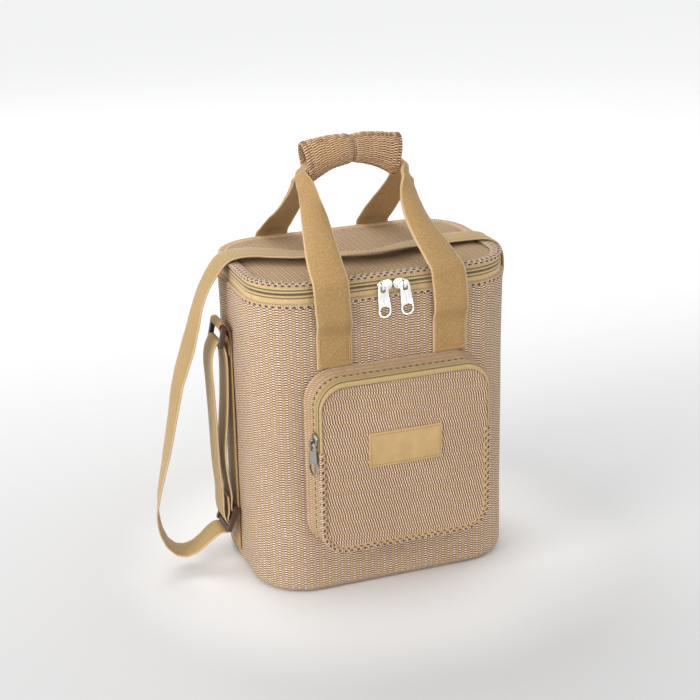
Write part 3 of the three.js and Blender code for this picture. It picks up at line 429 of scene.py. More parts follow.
def light_the_studio():
    scene = bpy.context.scene
    scene.view_settings.view_transform = "Standard"
    scene.world = bpy.data.worlds.new("Studio")
    scene.world.use_nodes = True
    sky = scene.world.node_tree.nodes["Background"]
    sky.inputs["Color"].default_value = (1, 1, 1, 1)
    sky.inputs["Strength"].default_value = 0.92
    softbox("key", (-1.9, -0.8, 1.0), 1.0, 28, (1, 0.985, 0.96))
    softbox("top", (-0.2, 1.3, 1.7), 1.2, 14)
    softbox("low fill", (0.4, -1.5, 0.06), 0.7, 4)
    softbox("left fill", (-1.7, -1.0, 0.08), 0.7, 3)
    bpy.ops.mesh.primitive_grid_add(x_subdivisions=8, y_subdivisions=8, size=60)
    floor = bpy.context.object
    floor.name = "floor"
    t = Finish("pale paper")
    # Painted shade: the floor darkens toward the front left, near the camera, and grows whiter far off
    share = t.ramp(t.away_from((-0.7, -0.65, 0)), 0, 1, 0.1, 3.0)
    tone = t.mix(share, (0.49, 0.49, 0.495), (0.96, 0.965, 0.965))
    # Painted light: the floor is whiter in a ring round the bag, lifting the shadow under it
    near = t.ramp(t.away_from((0, -0.02, 0)), 0.5, 0, 0.14, 0.28)
    floor.data.materials.append(t.done(t.mix(near, tone, (1, 1, 1)), 0.6, others={"Specular IOR Level": 0.2}))


# Modelling helpers

FRONTWARD = Vector((0, -1, 0))
SHARP = 40


def clamp(value, low=0.0, high=1.0):
    return max(low, min(high, value))


def ease(value):
    """From 0 to 1, slow at both ends"""
    share = clamp(value)
    return share * share * (3 - 2 * share)


def work_on(piece):
    bpy.ops.object.select_all(action="DESELECT")
    piece.select_set(True)
    bpy.context.view_layer.objects.active = piece


@contextmanager
def editing(piece):
    work_on(piece)
    bpy.ops.object.mode_set(mode="EDIT")
    yield
    bpy.ops.object.mode_set(mode="OBJECT")


def pick(piece, kind, test):
    """In edit mode, selects the faces or edges that a test passes"""
    bpy.ops.mesh.select_all(action="DESELECT")
    bpy.ops.mesh.select_mode(type=kind)
    shape = bmesh.from_edit_mesh(piece.data)
    for part in shape.faces if kind == "FACE" else shape.edges:
        part.select_set(test(part))
    bmesh.update_edit_mesh(piece.data)


def bevel_edges(piece, test, width, steps=3):
    with editing(piece):
        pick(piece, "EDGE", test)
        bpy.ops.mesh.bevel(offset=width * MM, segments=steps, affect="EDGES")


def drop_faces(piece, test):
    with editing(piece):
        pick(piece, "FACE", test)
        bpy.ops.mesh.delete(type="FACE")


def block(name, low, high, radius, axis=2, steps=10, bare=None):
    """A block in millimetres whose edges along one axis are rounded, without the faces toward bare"""
    bpy.ops.object.select_all(action="DESELECT")
    low, high = Vector(low) * MM, Vector(high) * MM
    bpy.ops.mesh.primitive_cube_add(size=1, location=(low + high) / 2)
    made = bpy.context.object
    made.name = name
    made.scale = high - low
    bpy.ops.object.transform_apply(location=True, rotation=True, scale=True)
    bevel_edges(made, lambda e: abs((e.verts[0].co - e.verts[1].co).normalized()[axis]) > 0.99, radius, steps)
    if bare:
        drop_faces(made, lambda f: f.normal.dot(Vector(bare)) > 0.9)
    return made


def cut_rows(piece, rows):
    """Cuts a piece across its axes, so that it can bend there"""
    with editing(piece):
        bpy.ops.mesh.select_mode(type="FACE")
        for axis, places in rows.items():
            normal = Vector((0, 0, 0))
            normal[axis] = 1
            for place in places:
                bpy.ops.mesh.select_all(action="SELECT")
                bpy.ops.mesh.bisect(plane_co=normal * place * MM, plane_no=normal)


def open_face(piece, way, *widths):
    """Insets the large flat face toward a way, step by step, and takes out what is left of it"""
    large = lambda f: f.normal.dot(Vector(way)) > 0.99 and f.calc_area() > 0.01
    for width in widths:
        with editing(piece):
            pick(piece, "FACE", large)
            bpy.ops.mesh.inset(thickness=width * MM, depth=0)
    drop_faces(piece, large)


def face_outward(piece):
    with editing(piece):
        bpy.ops.mesh.select_all(action="SELECT")
        bpy.ops.mesh.normals_make_consistent(inside=False)


def shape_cloth(piece, rows=None, rule=None, wall=None, angle=50, cloth=None, total=None):
    """Cuts a skin into rows, moves its points, walls it to the inside, smooths it and lays its map"""
    if rows:
        cut_rows(piece, rows)
    if rule:
        move_points(piece, rule)
    if wall:
        face_outward(piece)
        modify(piece, "SOLIDIFY", thickness=wall * MM, offset=-1.0, use_even_offset=True)
    smooth(piece, angle)
    if cloth:
        lay_cloth(piece, cloth, total)


def modify(piece, kind, **settings):
    """Gives a piece a modifier and applies it"""
    work_on(piece)
    step = piece.modifiers.new("step", kind)
    for key, value in settings.items():
        setattr(step, key, value)
    bpy.ops.object.modifier_apply(modifier="step")


def round_off(piece, width, steps=2):
    """Rounds a piece's sharp edges"""
    modify(piece, "BEVEL", width=width * MM, segments=steps, limit_method="ANGLE",
           angle_limit=math.radians(SHARP))


def smooth(piece, angle=SHARP):
    work_on(piece)
    bpy.ops.object.shade_smooth_by_angle(angle=math.radians(angle))


def move_points(piece, rule):
    """Moves each point of a piece by a rule that gives its new place"""
    for vertex in piece.data.vertices:
        vertex.co = rule(vertex.co.copy(), vertex.normal.copy())
    piece.data.update()


def dress(piece, finish, slot, *replaced, body="bag", blend=None):
    """Gives a piece its material, joins it to its body and hides the nodes it stands for. A piece given blend
    instead has its transform baked into its mesh and joins no body. The slot is not used.
    """
    piece.data.materials.clear()
    piece.data.materials.append(finish)
    if blend:
        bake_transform(piece)
    else:
        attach(piece, body)
    if replaced:
        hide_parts(*replaced)


def foam_board(name, low, high, radius, edge, node, body):
    board = block(name, low, high, radius)
    round_off(board, edge)
    dress(board, FOAM, "foam", node, body=body)


def new_piece(name, mesh):
    piece = bpy.data.objects.new(name, mesh)
    bpy.context.scene.collection.objects.link(piece)
    return piece


# Cloth maps: where each corner of a piece lies on its cloth, in metres

def lay_cloth(piece, rule, total=None):
    """Writes the cloth map from a rule of place and normal. A map that runs round is closed."""
    mesh = piece.data
    laid = mesh.uv_layers.get("cloth") or mesh.uv_layers.new(name="cloth")
    mesh.uv_layers.active = laid
    for face in mesh.polygons:
        spots = [list(rule(mesh.vertices[v].co, face.normal)) for v in face.vertices]
        if total:
            length, way = total
            most = max(s[way] for s in spots)
            for s in spots:
                if most - s[way] > length / 2:
                    s[way] += length
        for corner, spot in zip(face.loop_indices, spots):
            laid.data[corner].uv = spot


class Outline:
    """A rounded rectangle in millimetres that lies across two of a piece's axes"""

    def __init__(self, half_wide, half_deep, radius, centre=(0, 0), axes=(0, 1)):
        self.radius, self.centre, self.axes = radius, centre, axes
        self.core = (half_wide - radius, half_deep - radius)
        self.quarter = radius * math.pi / 2
        self.length = 4 * (self.core[0] + self.core[1]) + 4 * self.quarter

    def round_and_in(self, co):
        """How far round it, and how far inside it, a place in metres lies"""
        x, y = (co[axis] / MM - middle for axis, middle in zip(self.axes, self.centre))
        wide, deep = self.core
        dx, dy = x - clamp(x, -wide, wide), y - clamp(y, -deep, deep)
        q = self.quarter
        turn = lambda a, b: math.atan2(abs(a), abs(b)) / (math.pi / 2) * q
        if dx == 0:
            way = -x if y > 0 else 2 * (wide + q + deep) + x
        elif dy == 0:
            way = wide + q + deep - y if dx < 0 else 3 * (wide + q + deep) + y
        elif dx < 0:
            way = wide + (turn(dx, dy) if dy > 0 else q + 2 * deep + turn(dy, dx))
        else:
            way = 3 * wide + 2 * (q + deep) + (turn(dx, dy) if dy < 0 else q + 2 * deep + turn(dy, dx))
        return way % self.length, self.radius - math.hypot(dx, dy)

    def points(self, steps=10):
        """Points and outward directions round the outline, from the left end of the back"""
        wide, deep = self.core
        found = []
        for cx, cy, start in ((-wide, deep, 90), (-wide, -deep, 180), (wide, -deep, 270), (wide, deep, 0)):
            for i in range(steps + 1):
                angle = math.radians(start + 90 * i / steps)
                nx, ny = math.cos(angle), math.sin(angle)
                x, y = cx + self.radius * nx + self.centre[0], cy + self.radius * ny + self.centre[1]
                found.append((x, y, nx, ny))
        return found


BODY = Outline(130, 88, 52)
LID = Outline(128.8, 86.8, 50.8)
LID_PANEL = Outline(118.6, 76.6, 40.6)
POCKET = Outline(85.5, 85.5, 26, (-1.5, 140.5), (0, 2))


def way_along(points):
    """How far along a closed row each of its points lies, and its whole length"""
    found = [0.0]
    for a, b in zip(points, [*points[1:], points[0]]):
        found.append(found[-1] + (b - a).length)
    return found


def loft(name, rings, across=None, along=None, loop_path=False):
    """A skin through rings of points in millimetres, with its cloth map laid across and along"""
    count, size = len(rings), len(rings[0])
    across = across or way_along(rings[0])
    along = along or way_along([ring[0] for ring in rings])
    shape = bmesh.new()
    laid = shape.loops.layers.uv.new("cloth")
    grid = [[shape.verts.new(p * MM) for p in ring] for ring in rings]
    for i in range(count if loop_path else count - 1):
        for j in range(size):
            corners = ((i, j), (i, j + 1), (i + 1, j + 1), (i + 1, j))
            face = shape.faces.new([grid[a % count][b % size] for a, b in corners])
            for corner, (a, b) in zip(face.loops, corners):
                corner[laid].uv = (across[min(b, len(across) - 1)] * MM, along[a] * MM)
    if not loop_path:
        for end in (grid[0], grid[-1]):
            shape.faces.new(end)
    bmesh.ops.recalc_face_normals(shape, faces=shape.faces)
    mesh = bpy.data.meshes.new(name)
    shape.to_mesh(mesh)
    shape.free()
    return new_piece(name, mesh)


def on_plan(x, y, height):
    return Vector((x, y, height))


def band(name, places, profile, closed=True, across=None, angle=60, at=on_plan, share=lambda ny: 1.0):
    """A profile of (inset, height) points carried round an outline. Insets over 1 mm keep a share."""
    rings = []
    for x, y, nx, ny in places:
        insets = [d if d < 1 else 1 + (d - 1) * share(ny) for d, _ in profile]
        rings.append([at(x - nx * d, y - ny * d, h) for d, (_, h) in zip(insets, profile)])
    piece = loft(name, rings, across, loop_path=closed)
    if angle:
        smooth(piece, angle)
    return piece


# Webbing

def curve_through(points, steps):
    """A centripetal curve through points, with the share of the way between them at each place"""
    ends = [2 * points[0] - points[1], *points, 2 * points[-1] - points[-2]]
    found = []
    for k in range(1, len(ends) - 2):
        p0, p1, p2, p3 = ends[k - 1:k + 3]
        knots = [0.0]
        for a, b in ((p0, p1), (p1, p2), (p2, p3)):
            knots.append(knots[-1] + max((b - a).length, 1e-6) ** 0.5)
        t0, t1, t2, t3 = knots
        for i in range(steps):
            t = t1 + (t2 - t1) * i / steps
            between = lambda a, b, start, end: a.lerp(b, (t - start) / (end - start))
            a1, a2, a3 = between(p0, p1, t0, t1), between(p1, p2, t1, t2), between(p2, p3, t2, t3)
            b1, b2 = between(a1, a2, t0, t2), between(a2, a3, t1, t3)
            found.append((between(b1, b2, t1, t2), k - 1, i / steps))
    found.append((points[-1].copy(), len(points) - 2, 1.0))
    return found


STRIP = [(-1, -0.4), (-0.965, -1), (-0.5, -1), (0, -1), (0.5, -1), (0.965, -1), (1, -0.4),
         (1, 0.4), (0.965, 1), (0.5, 1), (0, 1), (-0.5, 1), (-0.965, 1), (-1, 0.4)]


def webbing(name, stations, steps=4, full_width=None, curl_side=None, part_kept=None):
    """Webbing through stations of (place, way across, width, thickness), in millimetres.
    Where it is drawn narrower than its full width, its edges curl away from curl_side."""
    places = curve_through([s[0] for s in stations], steps)
    rings, along = [], [0.0]
    for n, (centre, k, part) in enumerate(places):
        before, after = places[max(n - 1, 0)][0], places[min(n + 1, len(places) - 1)][0]
        tangent = (after - before).normalized()
        here, ahead = stations[k], stations[k + 1]
        across = here[1].lerp(ahead[1], ease(part))
        across = (across - tangent * across.dot(tangent)).normalized()
        normal = tangent.cross(across)
        width, thick = (here[i] * (1 - part) + ahead[i] * part for i in (2, 3))
        curl = 0.0
        if full_width and width < full_width - 0.2:
            curl = 0.5 * math.sqrt(0.375 * width * (full_width - width)) * (1 - clamp(thick - 2.2))
            if normal.dot(curl_side) < 0:
                curl = -curl
        if part_kept and not part_kept[0] <= k + part <= part_kept[1]:
            continue
        if rings:
            along.append(along[-1] + (centre - places[n - 1][0]).length)
        rings.append([centre + across * (u * width / 2) + normal * (v * thick / 2 + curl * (0.5 - u * u))
                      for u, v in STRIP])
    piece = loft(name, rings, [(u + 1) * stations[0][2] / 2 for u, _ in STRIP] + [0.0], along)
    smooth(piece, 50)
    return piece


def stitch_shape():
    """One stitch, modelled once: a short bead of thread"""
    bpy.ops.mesh.primitive_uv_sphere_add(segments=6, ring_count=4, radius=1, location=(0, 0, 0))
    bead = bpy.context.object
    corners = [v.co.copy() for v in bead.data.vertices]
    faces = [tuple(f.vertices) for f in bead.data.polygons]
    bpy.data.objects.remove(bead)
    return corners, faces


STITCH = stitch_shape()


def stitches(name, rows, pitch=3.2, length=2.3, girth=0.42, across=False):
    """Rows of stitches, each row a list of (place, outward) points in millimetres"""
    points, faces = [], []
    for row in rows:
        gone, wanted = 0.0, pitch / 2
        for (a, na), (b, nb) in zip(row, row[1:]):
            span = (b - a).length
            while span > 0 and gone + span >= wanted:
                share = (wanted - gone) / span
                middle = a.lerp(b, share)
                out = na.lerp(nb, share).normalized()
                way = (b - a).normalized()
                side = out.cross(way).normalized()
                if across:
                    way, side = side, way
                first = len(points)
                for c in STITCH[0]:
                    points.append((middle + way * (c.z * length / 2) + side * (c.x * girth)
                                   + out * (c.y * girth * 0.8)) * MM)
                faces += [tuple(first + i for i in f) for f in STITCH[1]]
                wanted += pitch
            gone += span
    mesh = bpy.data.meshes.new(name)
    mesh.from_pydata(points, [], faces)
    piece = new_piece(name, mesh)
    mesh.update()
    face_outward(piece)
    smooth(piece, 180)
    return piece


def sew(name, rows, finish, slot, *replaced, body="bag", **sizes):
    dress(stitches(name, rows, **sizes), finish, slot, *replaced, body=body)


# The bag's body

# Where the wall's ripples end below its rim, in metres
WALL_TOP = 0.286


def on_body(co, normal):
    way, inside = BODY.round_and_in(co)
    if normal.z < -0.8:
        return co.x, co.y
    return way * MM, co.z - max(inside, 0) * MM


def settled(co, normal):
    """The sewn wall is not quite flat: it sinks a little here and there"""
    share = clamp((co.z - 0.02) / 0.05) * clamp((WALL_TOP - co.z) / 0.03)
    sink = 0.5 + 0.5 * noise.noise(co * 16)
    return co - Vector((normal.x, normal.y, 0)) * sink * share * 1.3 * MM


def creased(co, normal):
    """The foil liner stands off in soft creases below its upper edge"""
    return co - normal * (0.5 + 0.5 * noise.noise(co * 60)) * 0.9 * MM if co.z < 0.283 else co


def build_body():
    wall = block("body_wall", (-130, -88, 0), (130, 88, 288.4), 52, steps=12, bare=(0, 0, 1))
    bevel_edges(wall, lambda e: all(v.co.z < 0.1 * MM for v in e.verts), 10, 5)
    shape_cloth(wall, {2: range(24, 286, 13), 0: range(-65, 66, 13), 1: range(-26, 27, 13)}, settled, 2.2,
                cloth=on_body, total=(BODY.length * MM, 0))
    dress(wall, WOVEN, "woven", "body_shell", "base_panel")

    rim = band("rim_edge", BODY.points(14), [(0.5, 288.1), (-0.5, 288.7), (-0.8, 290.2), (-0.4, 291.6),
                                             (0.6, 292.2), (2.5, 292.1), (2.6, 288.1)])
    dress(rim, RIM_EDGE, "woven", "rim_hem")

    foam = band("wall_foam_board", BODY.points(),
                [(2.7, 10.6), (2.7, 282.4), (3.3, 283), (8.1, 283), (8.7, 282.4), (8.7, 10.6)], angle=None)
    dress(foam, FOAM, "foam", "wall_foam")
    foam_board("base_foam_board", (-121.5, -79.5, 2.9), (121.5, 79.5, 8.6), 43.5, 1.2, "base_foam", "bag")

    liner = block("foil_liner", (-121, -79, 9), (121, 79, 284.2), 43, bare=(0, 0, 1))
    bevel_edges(liner, lambda e: all(v.co.z < 9.1 * MM for v in e.verts), 5, 4)
    shape_cloth(liner, {2: range(22, 280, 11), 0: range(-72, 73, 12), 1: range(-36, 37, 12)}, creased, 0.8,
                angle=60)
    dress(liner, FOIL, "foil", "body_liner")
    lip = band("foil_lip", BODY.points(), [(4.3, 283.3), (4.3, 284.2), (9.4, 284.2), (9.4, 283.3)], angle=40)
    dress(lip, FOIL, "foil")


# The zip round the lid

ZIP = 301.2


def build_zip():
    lower = [(4.1, 283.4), (2.8, 283.4), (2.8, 296.9), (3.6, 297.3), (3.6, 297.9), (2.5, 298.2), (2.0, 298.8),
             (2.1, 299.5), (2.7, 300), (4.1, 300)]
    upper = [(4.1, 308.6), (2.8, 308.6), *((d, 2 * ZIP - z) for d, z in lower[2:])]
    for name, node, body, profile in (("below", "lower", "bag", lower), ("above", "upper", "lid", upper)):
        spread = [abs(h - ZIP) for _, h in [*profile, profile[0]]]
        tape = band("zip_tape_" + name, BODY.points(14), profile, False, spread)
        dress(tape, TAPE, "zip_tape", "zip_tape_" + node, body=body)
    for name, node, body, side in (("below", "lower", "bag", -1), ("above", "upper", "lid", 1)):
        row = [(Vector((x - nx * 2.8, y - ny * 2.8, ZIP + side * 0.68)), Vector((nx, ny, 0)))
               for x, y, nx, ny in BODY.points(14)]
        sew("zip_teeth_" + name, [row], COIL, "zip_coil", "zip_coil_" + node, body=body, pitch=1.6,
            length=1.4, girth=0.58, across=True)
    strip = block("hinge_cloth", (-78, 84.1, 283.5), (78, 85.3, 308.6), 0.5, axis=0, steps=1)
    shape_cloth(strip, {2: range(286, 308, 2)}, angle=40, cloth=lambda co, n: (co.x, co.z))
    dress(strip, WOVEN, "woven", "hinge_strip_lower", "hinge_strip_upper",
          blend=("bag", "lid", (0, 0.085, 0.2965), (0, 0.085, 0.3060)))


# The lid

HEM_TOP = 310.7
HEM_WIDTH = 11.1


def toward_back(y):
    """From 0 at the lid's front half to 1 at its back, where the edge lies flat and level with the panel"""
    return ease(y / 0.05)


def puffed(co, normal):
    """The lid's hem swells between its two seams"""
    share = clamp(LID.round_and_in(co)[1] / HEM_WIDTH)
    swell = (0.9 - 0.6 * toward_back(co.y)) * math.sin(math.pi * share)
    return co + Vector((0, 0, (swell - 0.8 * max(0.0, share - 0.85) / 0.15) * MM))


def rippled(co, normal):
    """The lid's panel is soft, and lies higher at its back"""
    share = clamp(LID_PANEL.round_and_in(co)[1] / 14)
    return co + Vector((0, 0, (share * (0.5 + 0.9 * noise.noise(co * 22)) + 1.5 * toward_back(co.y)) * MM))


def on_lid_hem(co, normal):
    way, inside = LID.round_and_in(co)
    return (max(inside, 0) - HEM_TOP + co.z / MM) * MM, way * MM


def build_lid():
    hem = block("lid_edge", (-128.8, -86.8, 308.5), (128.8, 86.8, HEM_TOP), 50.8, 2, 14, (0, 0, -1))
    bevel_edges(hem, lambda e: all(v.co.z > (HEM_TOP - 0.1) * MM for v in e.verts), 0.9, 2)
    open_face(hem, (0, 0, 1), 4.4, 4.4, 1.4)
    shape_cloth(hem, None, puffed, 1.3, cloth=on_lid_hem, total=(LID.length * MM, 1))
    dress(hem, LID_EDGE, "woven", "lid_hem", body="lid")

    panel = block("lid_top", (-118.6, -76.6, 306.8), (118.6, 76.6, 308.5), 40.6, 2, 12, (0, 0, -1))
    shape_cloth(panel, {0: range(-105, 106, 15), 1: range(-64, 65, 16)}, rippled, 1.4,
                cloth=lambda co, n: (co.x, co.y))
    dress(panel, LID_TOP, "woven", "lid_panel", body="lid")

    foam_board("lid_foam_board", (-125.8, -83.8, 303), (125.8, 83.8, 306.2), 47.8, 0.8, "lid_foam", "lid")
    liner = block("lid_foil", (-125.3, -83.3, 301.5), (125.3, 83.3, 302.7), 47.3)
    shape_cloth(liner, {0: range(-110, 111, 11), 1: range(-77, 78, 11)},
                lambda co, n: co + Vector((0, 0, 0.5 * MM * (noise.noise(co * 60) + 0.4))), angle=60)
    dress(liner, FOIL, "foil", "lid_liner", body="lid")


# The front pocket: its outline lies in X and Z, and it stands out towards the front

ZIP_END = 160
WALL_FRONT = -88
POCKET_EDGES = (-87, 84)
POCKET_FRONT = -121.4
SLANT = 0.085
FOLD = ((0, -0.12, 0.1335), (0, -0.12, 0.1385))


def pocket_run(upper, steps=12):
    """The outline above or below the ends of the pocket's zip"""
    places = POCKET.points(steps)
    part = steps + 1
    left, right = ((x, ZIP_END, side, 0) for x, side in zip(POCKET_EDGES, (-1, 1)))
    if upper:
        return [right, *places[3 * part:], *places[:part], left]
    return [left, *places[part:3 * part], right]


def out_from_wall(x, z, height):
    return Vector((x, WALL_FRONT - height, z))


def tape_share(nz):
    """How much of its width the zip's tape keeps, from the pocket's sides to its top"""
    return 0.42 + 0.43 * max(nz, 0)


def pocket_puff(x, z):
    """How far the pocket's front swells out, in millimetres"""
    across, up = (min(1.0, abs(way) / 80) for way in (x + 1.5, z - 140.5))
    return 2.2 * (1 - across ** 2.4) * (1 - up ** 2.4)


def swollen(co, ripple=0.0):
    return co - Vector((0, (pocket_puff(co.x / MM, co.z / MM) + ripple) * MM, 0))


def rolled(co, normal):
    """The pocket's hem rolls over to its inner seam"""
    share = clamp(POCKET.round_and_in(co)[1] / 7)
    return co - Vector((0, (0.8 * math.sin(math.pi * share) - 0.9 * max(0.0, share - 0.86) / 0.14) * MM, 0))


def on_pocket_hem(co, normal):
    way, inside = POCKET.round_and_in(co)
    return (max(inside, 0) + co.y / MM - POCKET_FRONT) * MM, way * MM


def build_pocket():
    lining = block("pocket_back_lining", (-84.5, -89.1, 57.5), (81.5, -88.3, 223.5), 23.5, axis=1)
    lay_cloth(lining, lambda co, n: (co.x, co.z))
    dress(lining, LINING, "pocket_lining", "pocket_lining")

    side = [(-3, 0.2), (-2.2, 2.2), (-1.1, 6.5), (-0.3, 13), (0, 18), (0.1, 21.6),
            (1.9, 21.6), (1.8, 18), (1.5, 13), (0.7, 6.5), (-0.6, 2.2), (-1.4, 0.2)]
    gusset = band("pocket_side", POCKET.points(12), side, angle=55, at=out_from_wall)
    dress(gusset, GUSSET, "woven", "pocket_gusset")
    low_side = [(0.1, 21.6), (-0.1, 24), (-0.2, 27), (0.1, 30.6), (1.9, 30.6), (1.9, 21.6)]
    low = band("pocket_side_low", pocket_run(False), low_side, False, angle=55, at=out_from_wall)
    dress(low, GUSSET, "woven", "pocket_band_lower")

    run = pocket_run(True)
    outer = [(2, 20.2), (0, 20.2), (-0.1, 24.6), (0.5, 25), (0.5, 25.4), (-0.3, 25.7), (-0.4, 27.4),
             (0.2, 27.7), (2, 27.7)]
    inner = [(2, 28.9), (0.2, 28.9), (-0.2, 29.2), (-0.1, 30.6), (0.3, 31.2), (0.9, 31.2), (0.8, 31.8),
             (1.5, 32.9), (3, 33.6), (5.6, 33.7), (6.8, 33), (6.8, 31.6), (3, 31.6)]
    outer_spread = (8, 8, 4.2, 3.6, 3.4, 3, 1, 0.6, 0.6, 8)
    inner_spread = (0.6, 0.6, 1, 2.6, 3.3, 3.6, 3.9, 5, 6.5, 9, 10, 11, 11, 0.6)
    for part, node, finish, body, profile, spread, share in (
            ("back", "outer", SHADED_POCKET_TAPE, "bag", outer, outer_spread, lambda nz: 1.0),
            ("front", "inner", LIT_POCKET_TAPE, "pocket_flap", inner, inner_spread, tape_share)):
        tape = band("pocket_tape_" + part, run, profile, False, spread, 55, out_from_wall, share)
        dress(tape, finish, "zip_tape", "pocket_zip_tape_" + node, body=body)
    for part, node, body, height in (("back", "outer", "bag", 27.8), ("front", "inner", "pocket_flap", 28.9)):
        row = [(out_from_wall(x - nx * 0.5, z - nz * 0.5, height), Vector((nx, 0, nz)))
               for x, z, nx, nz in run]
        sew("pocket_teeth_" + part, [row], COIL, "zip_coil", "pocket_zip_coil_" + node, body=body,
            pitch=1.6, length=1.3, girth=0.55, across=True)

    # A stitched seam along the inner tape's edge, in dark brown thread that also stands in for painted shade
    # at that join
    seam = []
    for x, z, nx, nz in run:
        inset = 1 + 5.4 * tape_share(nz)
        seam.append((out_from_wall(x - nx * inset, z - nz * inset, 33.35), FRONTWARD))
    sew("pocket_tape_seam_and_shade", [seam], SEAM_THREAD, "zip_tape", body="pocket_flap", pitch=2.3, girth=0.4)

    hem = block("pocket_front_edge", (-87, POCKET_FRONT, 55), (84, -118.6, 226), 26, 1, 12, (0, 1, 0))
    bevel_edges(hem, lambda e: all(v.co.y < (POCKET_FRONT + 0.1) * MM for v in e.verts), 1.3, 3)
    open_face(hem, FRONTWARD, 2.4, 2.4, 0.9)
    cut_rows(hem, {2: [*range(132, 141), ZIP_END]})
    drop_faces(hem, lambda f: f.calc_center_median().z > ZIP_END * MM)
    shape_cloth(hem, None, rolled, 1.4, cloth=on_pocket_hem, total=(POCKET.length * MM, 1))
    dress(hem, POCKET_EDGE, "woven", "pocket_front_lower", "pocket_front_flap",
          blend=("bag", "pocket_flap", *FOLD))

    front = block("pocket_front", (-84.4, -120.9, 57.6), (81.4, -119.2, 223.4), 23.4, 1, bare=(0, 1, 0))
    heights = [*range(72, 132, 12), *range(132, 141), *range(150, 218, 12)]
    rippling = lambda co, n: swollen(co, 0.5 * noise.noise(co * 20))
    shape_cloth(front, {0: range(-72, 77, 12), 2: heights}, rippling, 1.2,
                cloth=lambda co, n: (co.z + SLANT * co.x, co.x - SLANT * co.z))
    dress(front, FRONT, "woven", blend=("bag", "pocket_flap", *FOLD))

    patch = block("tan_patch", (-39.9, -122.1, 138.7), (33.1, -120.9, 172.7), 1.2, axis=1, steps=3)
    cut_rows(patch, {0: range(-36, 33, 6)})
    round_off(patch, 0.4)
    move_points(patch, lambda co, n: swollen(co))
    smooth(patch)
    dress(patch, PATCH, "patch", "label_patch", body="pocket_flap")
    left, right, bottom, top = -37.6, 30.8, 141, 170.4
    row = range(-30, 31, 6)
    spots = [(left, bottom), *((x, bottom) for x in row), (right, bottom), (right, top),
             *((x, top) for x in row[::-1]), (left, top), (left, bottom)]
    border = [(Vector((x, -122.15 - pocket_puff(x, z), z)), FRONTWARD) for x, z in spots]
    sew("patch_stitches", [border], PATCH_THREAD, "patch", body="pocket_flap", pitch=3, length=2, girth=0.36)


# Handles: each is one length of webbing, sewn flat to the wall at both ends

# Each station of a leg: out from the wall, height, twist, width and thickness
HANDLE_WIDTH = 34.5
LEG = [*((out, z, 0, HANDLE_WIDTH, 1.7) for out, z in (
    (1.15, 229.3), (1.15, 245), (1.15, 260.5), (3.15, 266), (5.65, 272), (6.05, 287), (6.05, 301.2))),
    (5.05, 312.6, 4, 34, 1.7), (-2.2, 320.6, 7, 33.5, 1.7), (-13.6, 332.6, 11, 32, 1.8),
    (-30.5, 346.6, 18, 28.5, 2), (-48, 360.6, 25, 24.5, 2.4), (-60.5, 370.6, 33, 20, 2.9),
    (-71, 380.6, 50, 17.5, 3.2), (-81.6, 387, 72, 15.6, 3.4), (-88, 392, 90, 15.6, 3.4)]
SWAY = {
    "front_left": [-59, -59, -59, -59, -59.6, -61, -61.8, -62.5, -62.9, -62.6, -60.6, -58.6, -57.6, -57.2,
                   -57.2, -55.6],
    "front_right": [56, 56, 56, 56, 55.7, 54.9, 53.5, 51.4, 49, 44.6, 40.8, 39.9, 41.4, 44.2, 45.6, 43.2],
    "back_left": [-60.5, -60.5, -60.5, -60.5, -60.4, -60.2, -59.6, -58, -56.2, -53.2, -51.3, -52, -53, -54.5,
                  -54.5, -52],
    "back_right": [50.5, 50.5, 50.5, 50.5, 50.1, 49, 49, 49.8, 50.8, 52.8, 53.6, 54.4, 53.6, 50.5, 45.5, 40],
}
SEWN_BOX = ((-1, 231.6), (1, 231.6), (1, 258), (-1, 258))
GRIP_X, GRIP_Z, GRIP_HALF = -6.5, 410.2, 46


def leg_stations(sway, face, side, rise):
    found = []
    for (out, z, twist, width, thick), x in zip(LEG, sway):
        angle = math.radians(twist)
        lift = (rise + 2.5) * ease((z - 360.6) / 31.4)
        across = Vector((-side * math.cos(angle), face * math.sin(angle), 0))
        found.append((Vector((x, face * (88 + out), z + lift)), across, width, thick))
    return found


def build_handles():
    for side, face, rise in (("front", -1, -2.5), ("back", 1, 2.5)):
        out = Vector((0, face, 0))
        inside = [(Vector((x, 0, 407.2 - 12.2 * ((x - GRIP_X) / GRIP_HALF) ** 2 + rise)), out, 15.6, 3.4)
                  for x in (-49, -40, -28, -14, 2, 16, 28, 36)]
        stations = [*leg_stations(SWAY[side + "_left"], face, -1, rise), *inside,
                    *leg_stations(SWAY[side + "_right"], face, 1, rise)[::-1]]
        strap = webbing(side + "_handle_webbing", stations, 8, HANDLE_WIDTH, Vector((0, face, 0.35)))
        dress(strap, WEBBING, "handle_webbing", side + "_anchor_left", side + "_anchor_right",
              side + "_handle_strap",
              blend=("bag", side + "_handle", (0, face * 0.09, 0.257), (0, face * 0.09, 0.2655)))
        rows = []
        for leg in ("_left", "_right"):
            box = [(Vector((SWAY[side + leg][0] + u * 14.4, face * 90.15, z)), out) for u, z in SEWN_BOX]
            rows += [[*box, box[0]], box[::2], box[1::2]]
        sew(side + "_handle_stitches", rows, THREAD, "handle_webbing", pitch=2.9, length=2.5)


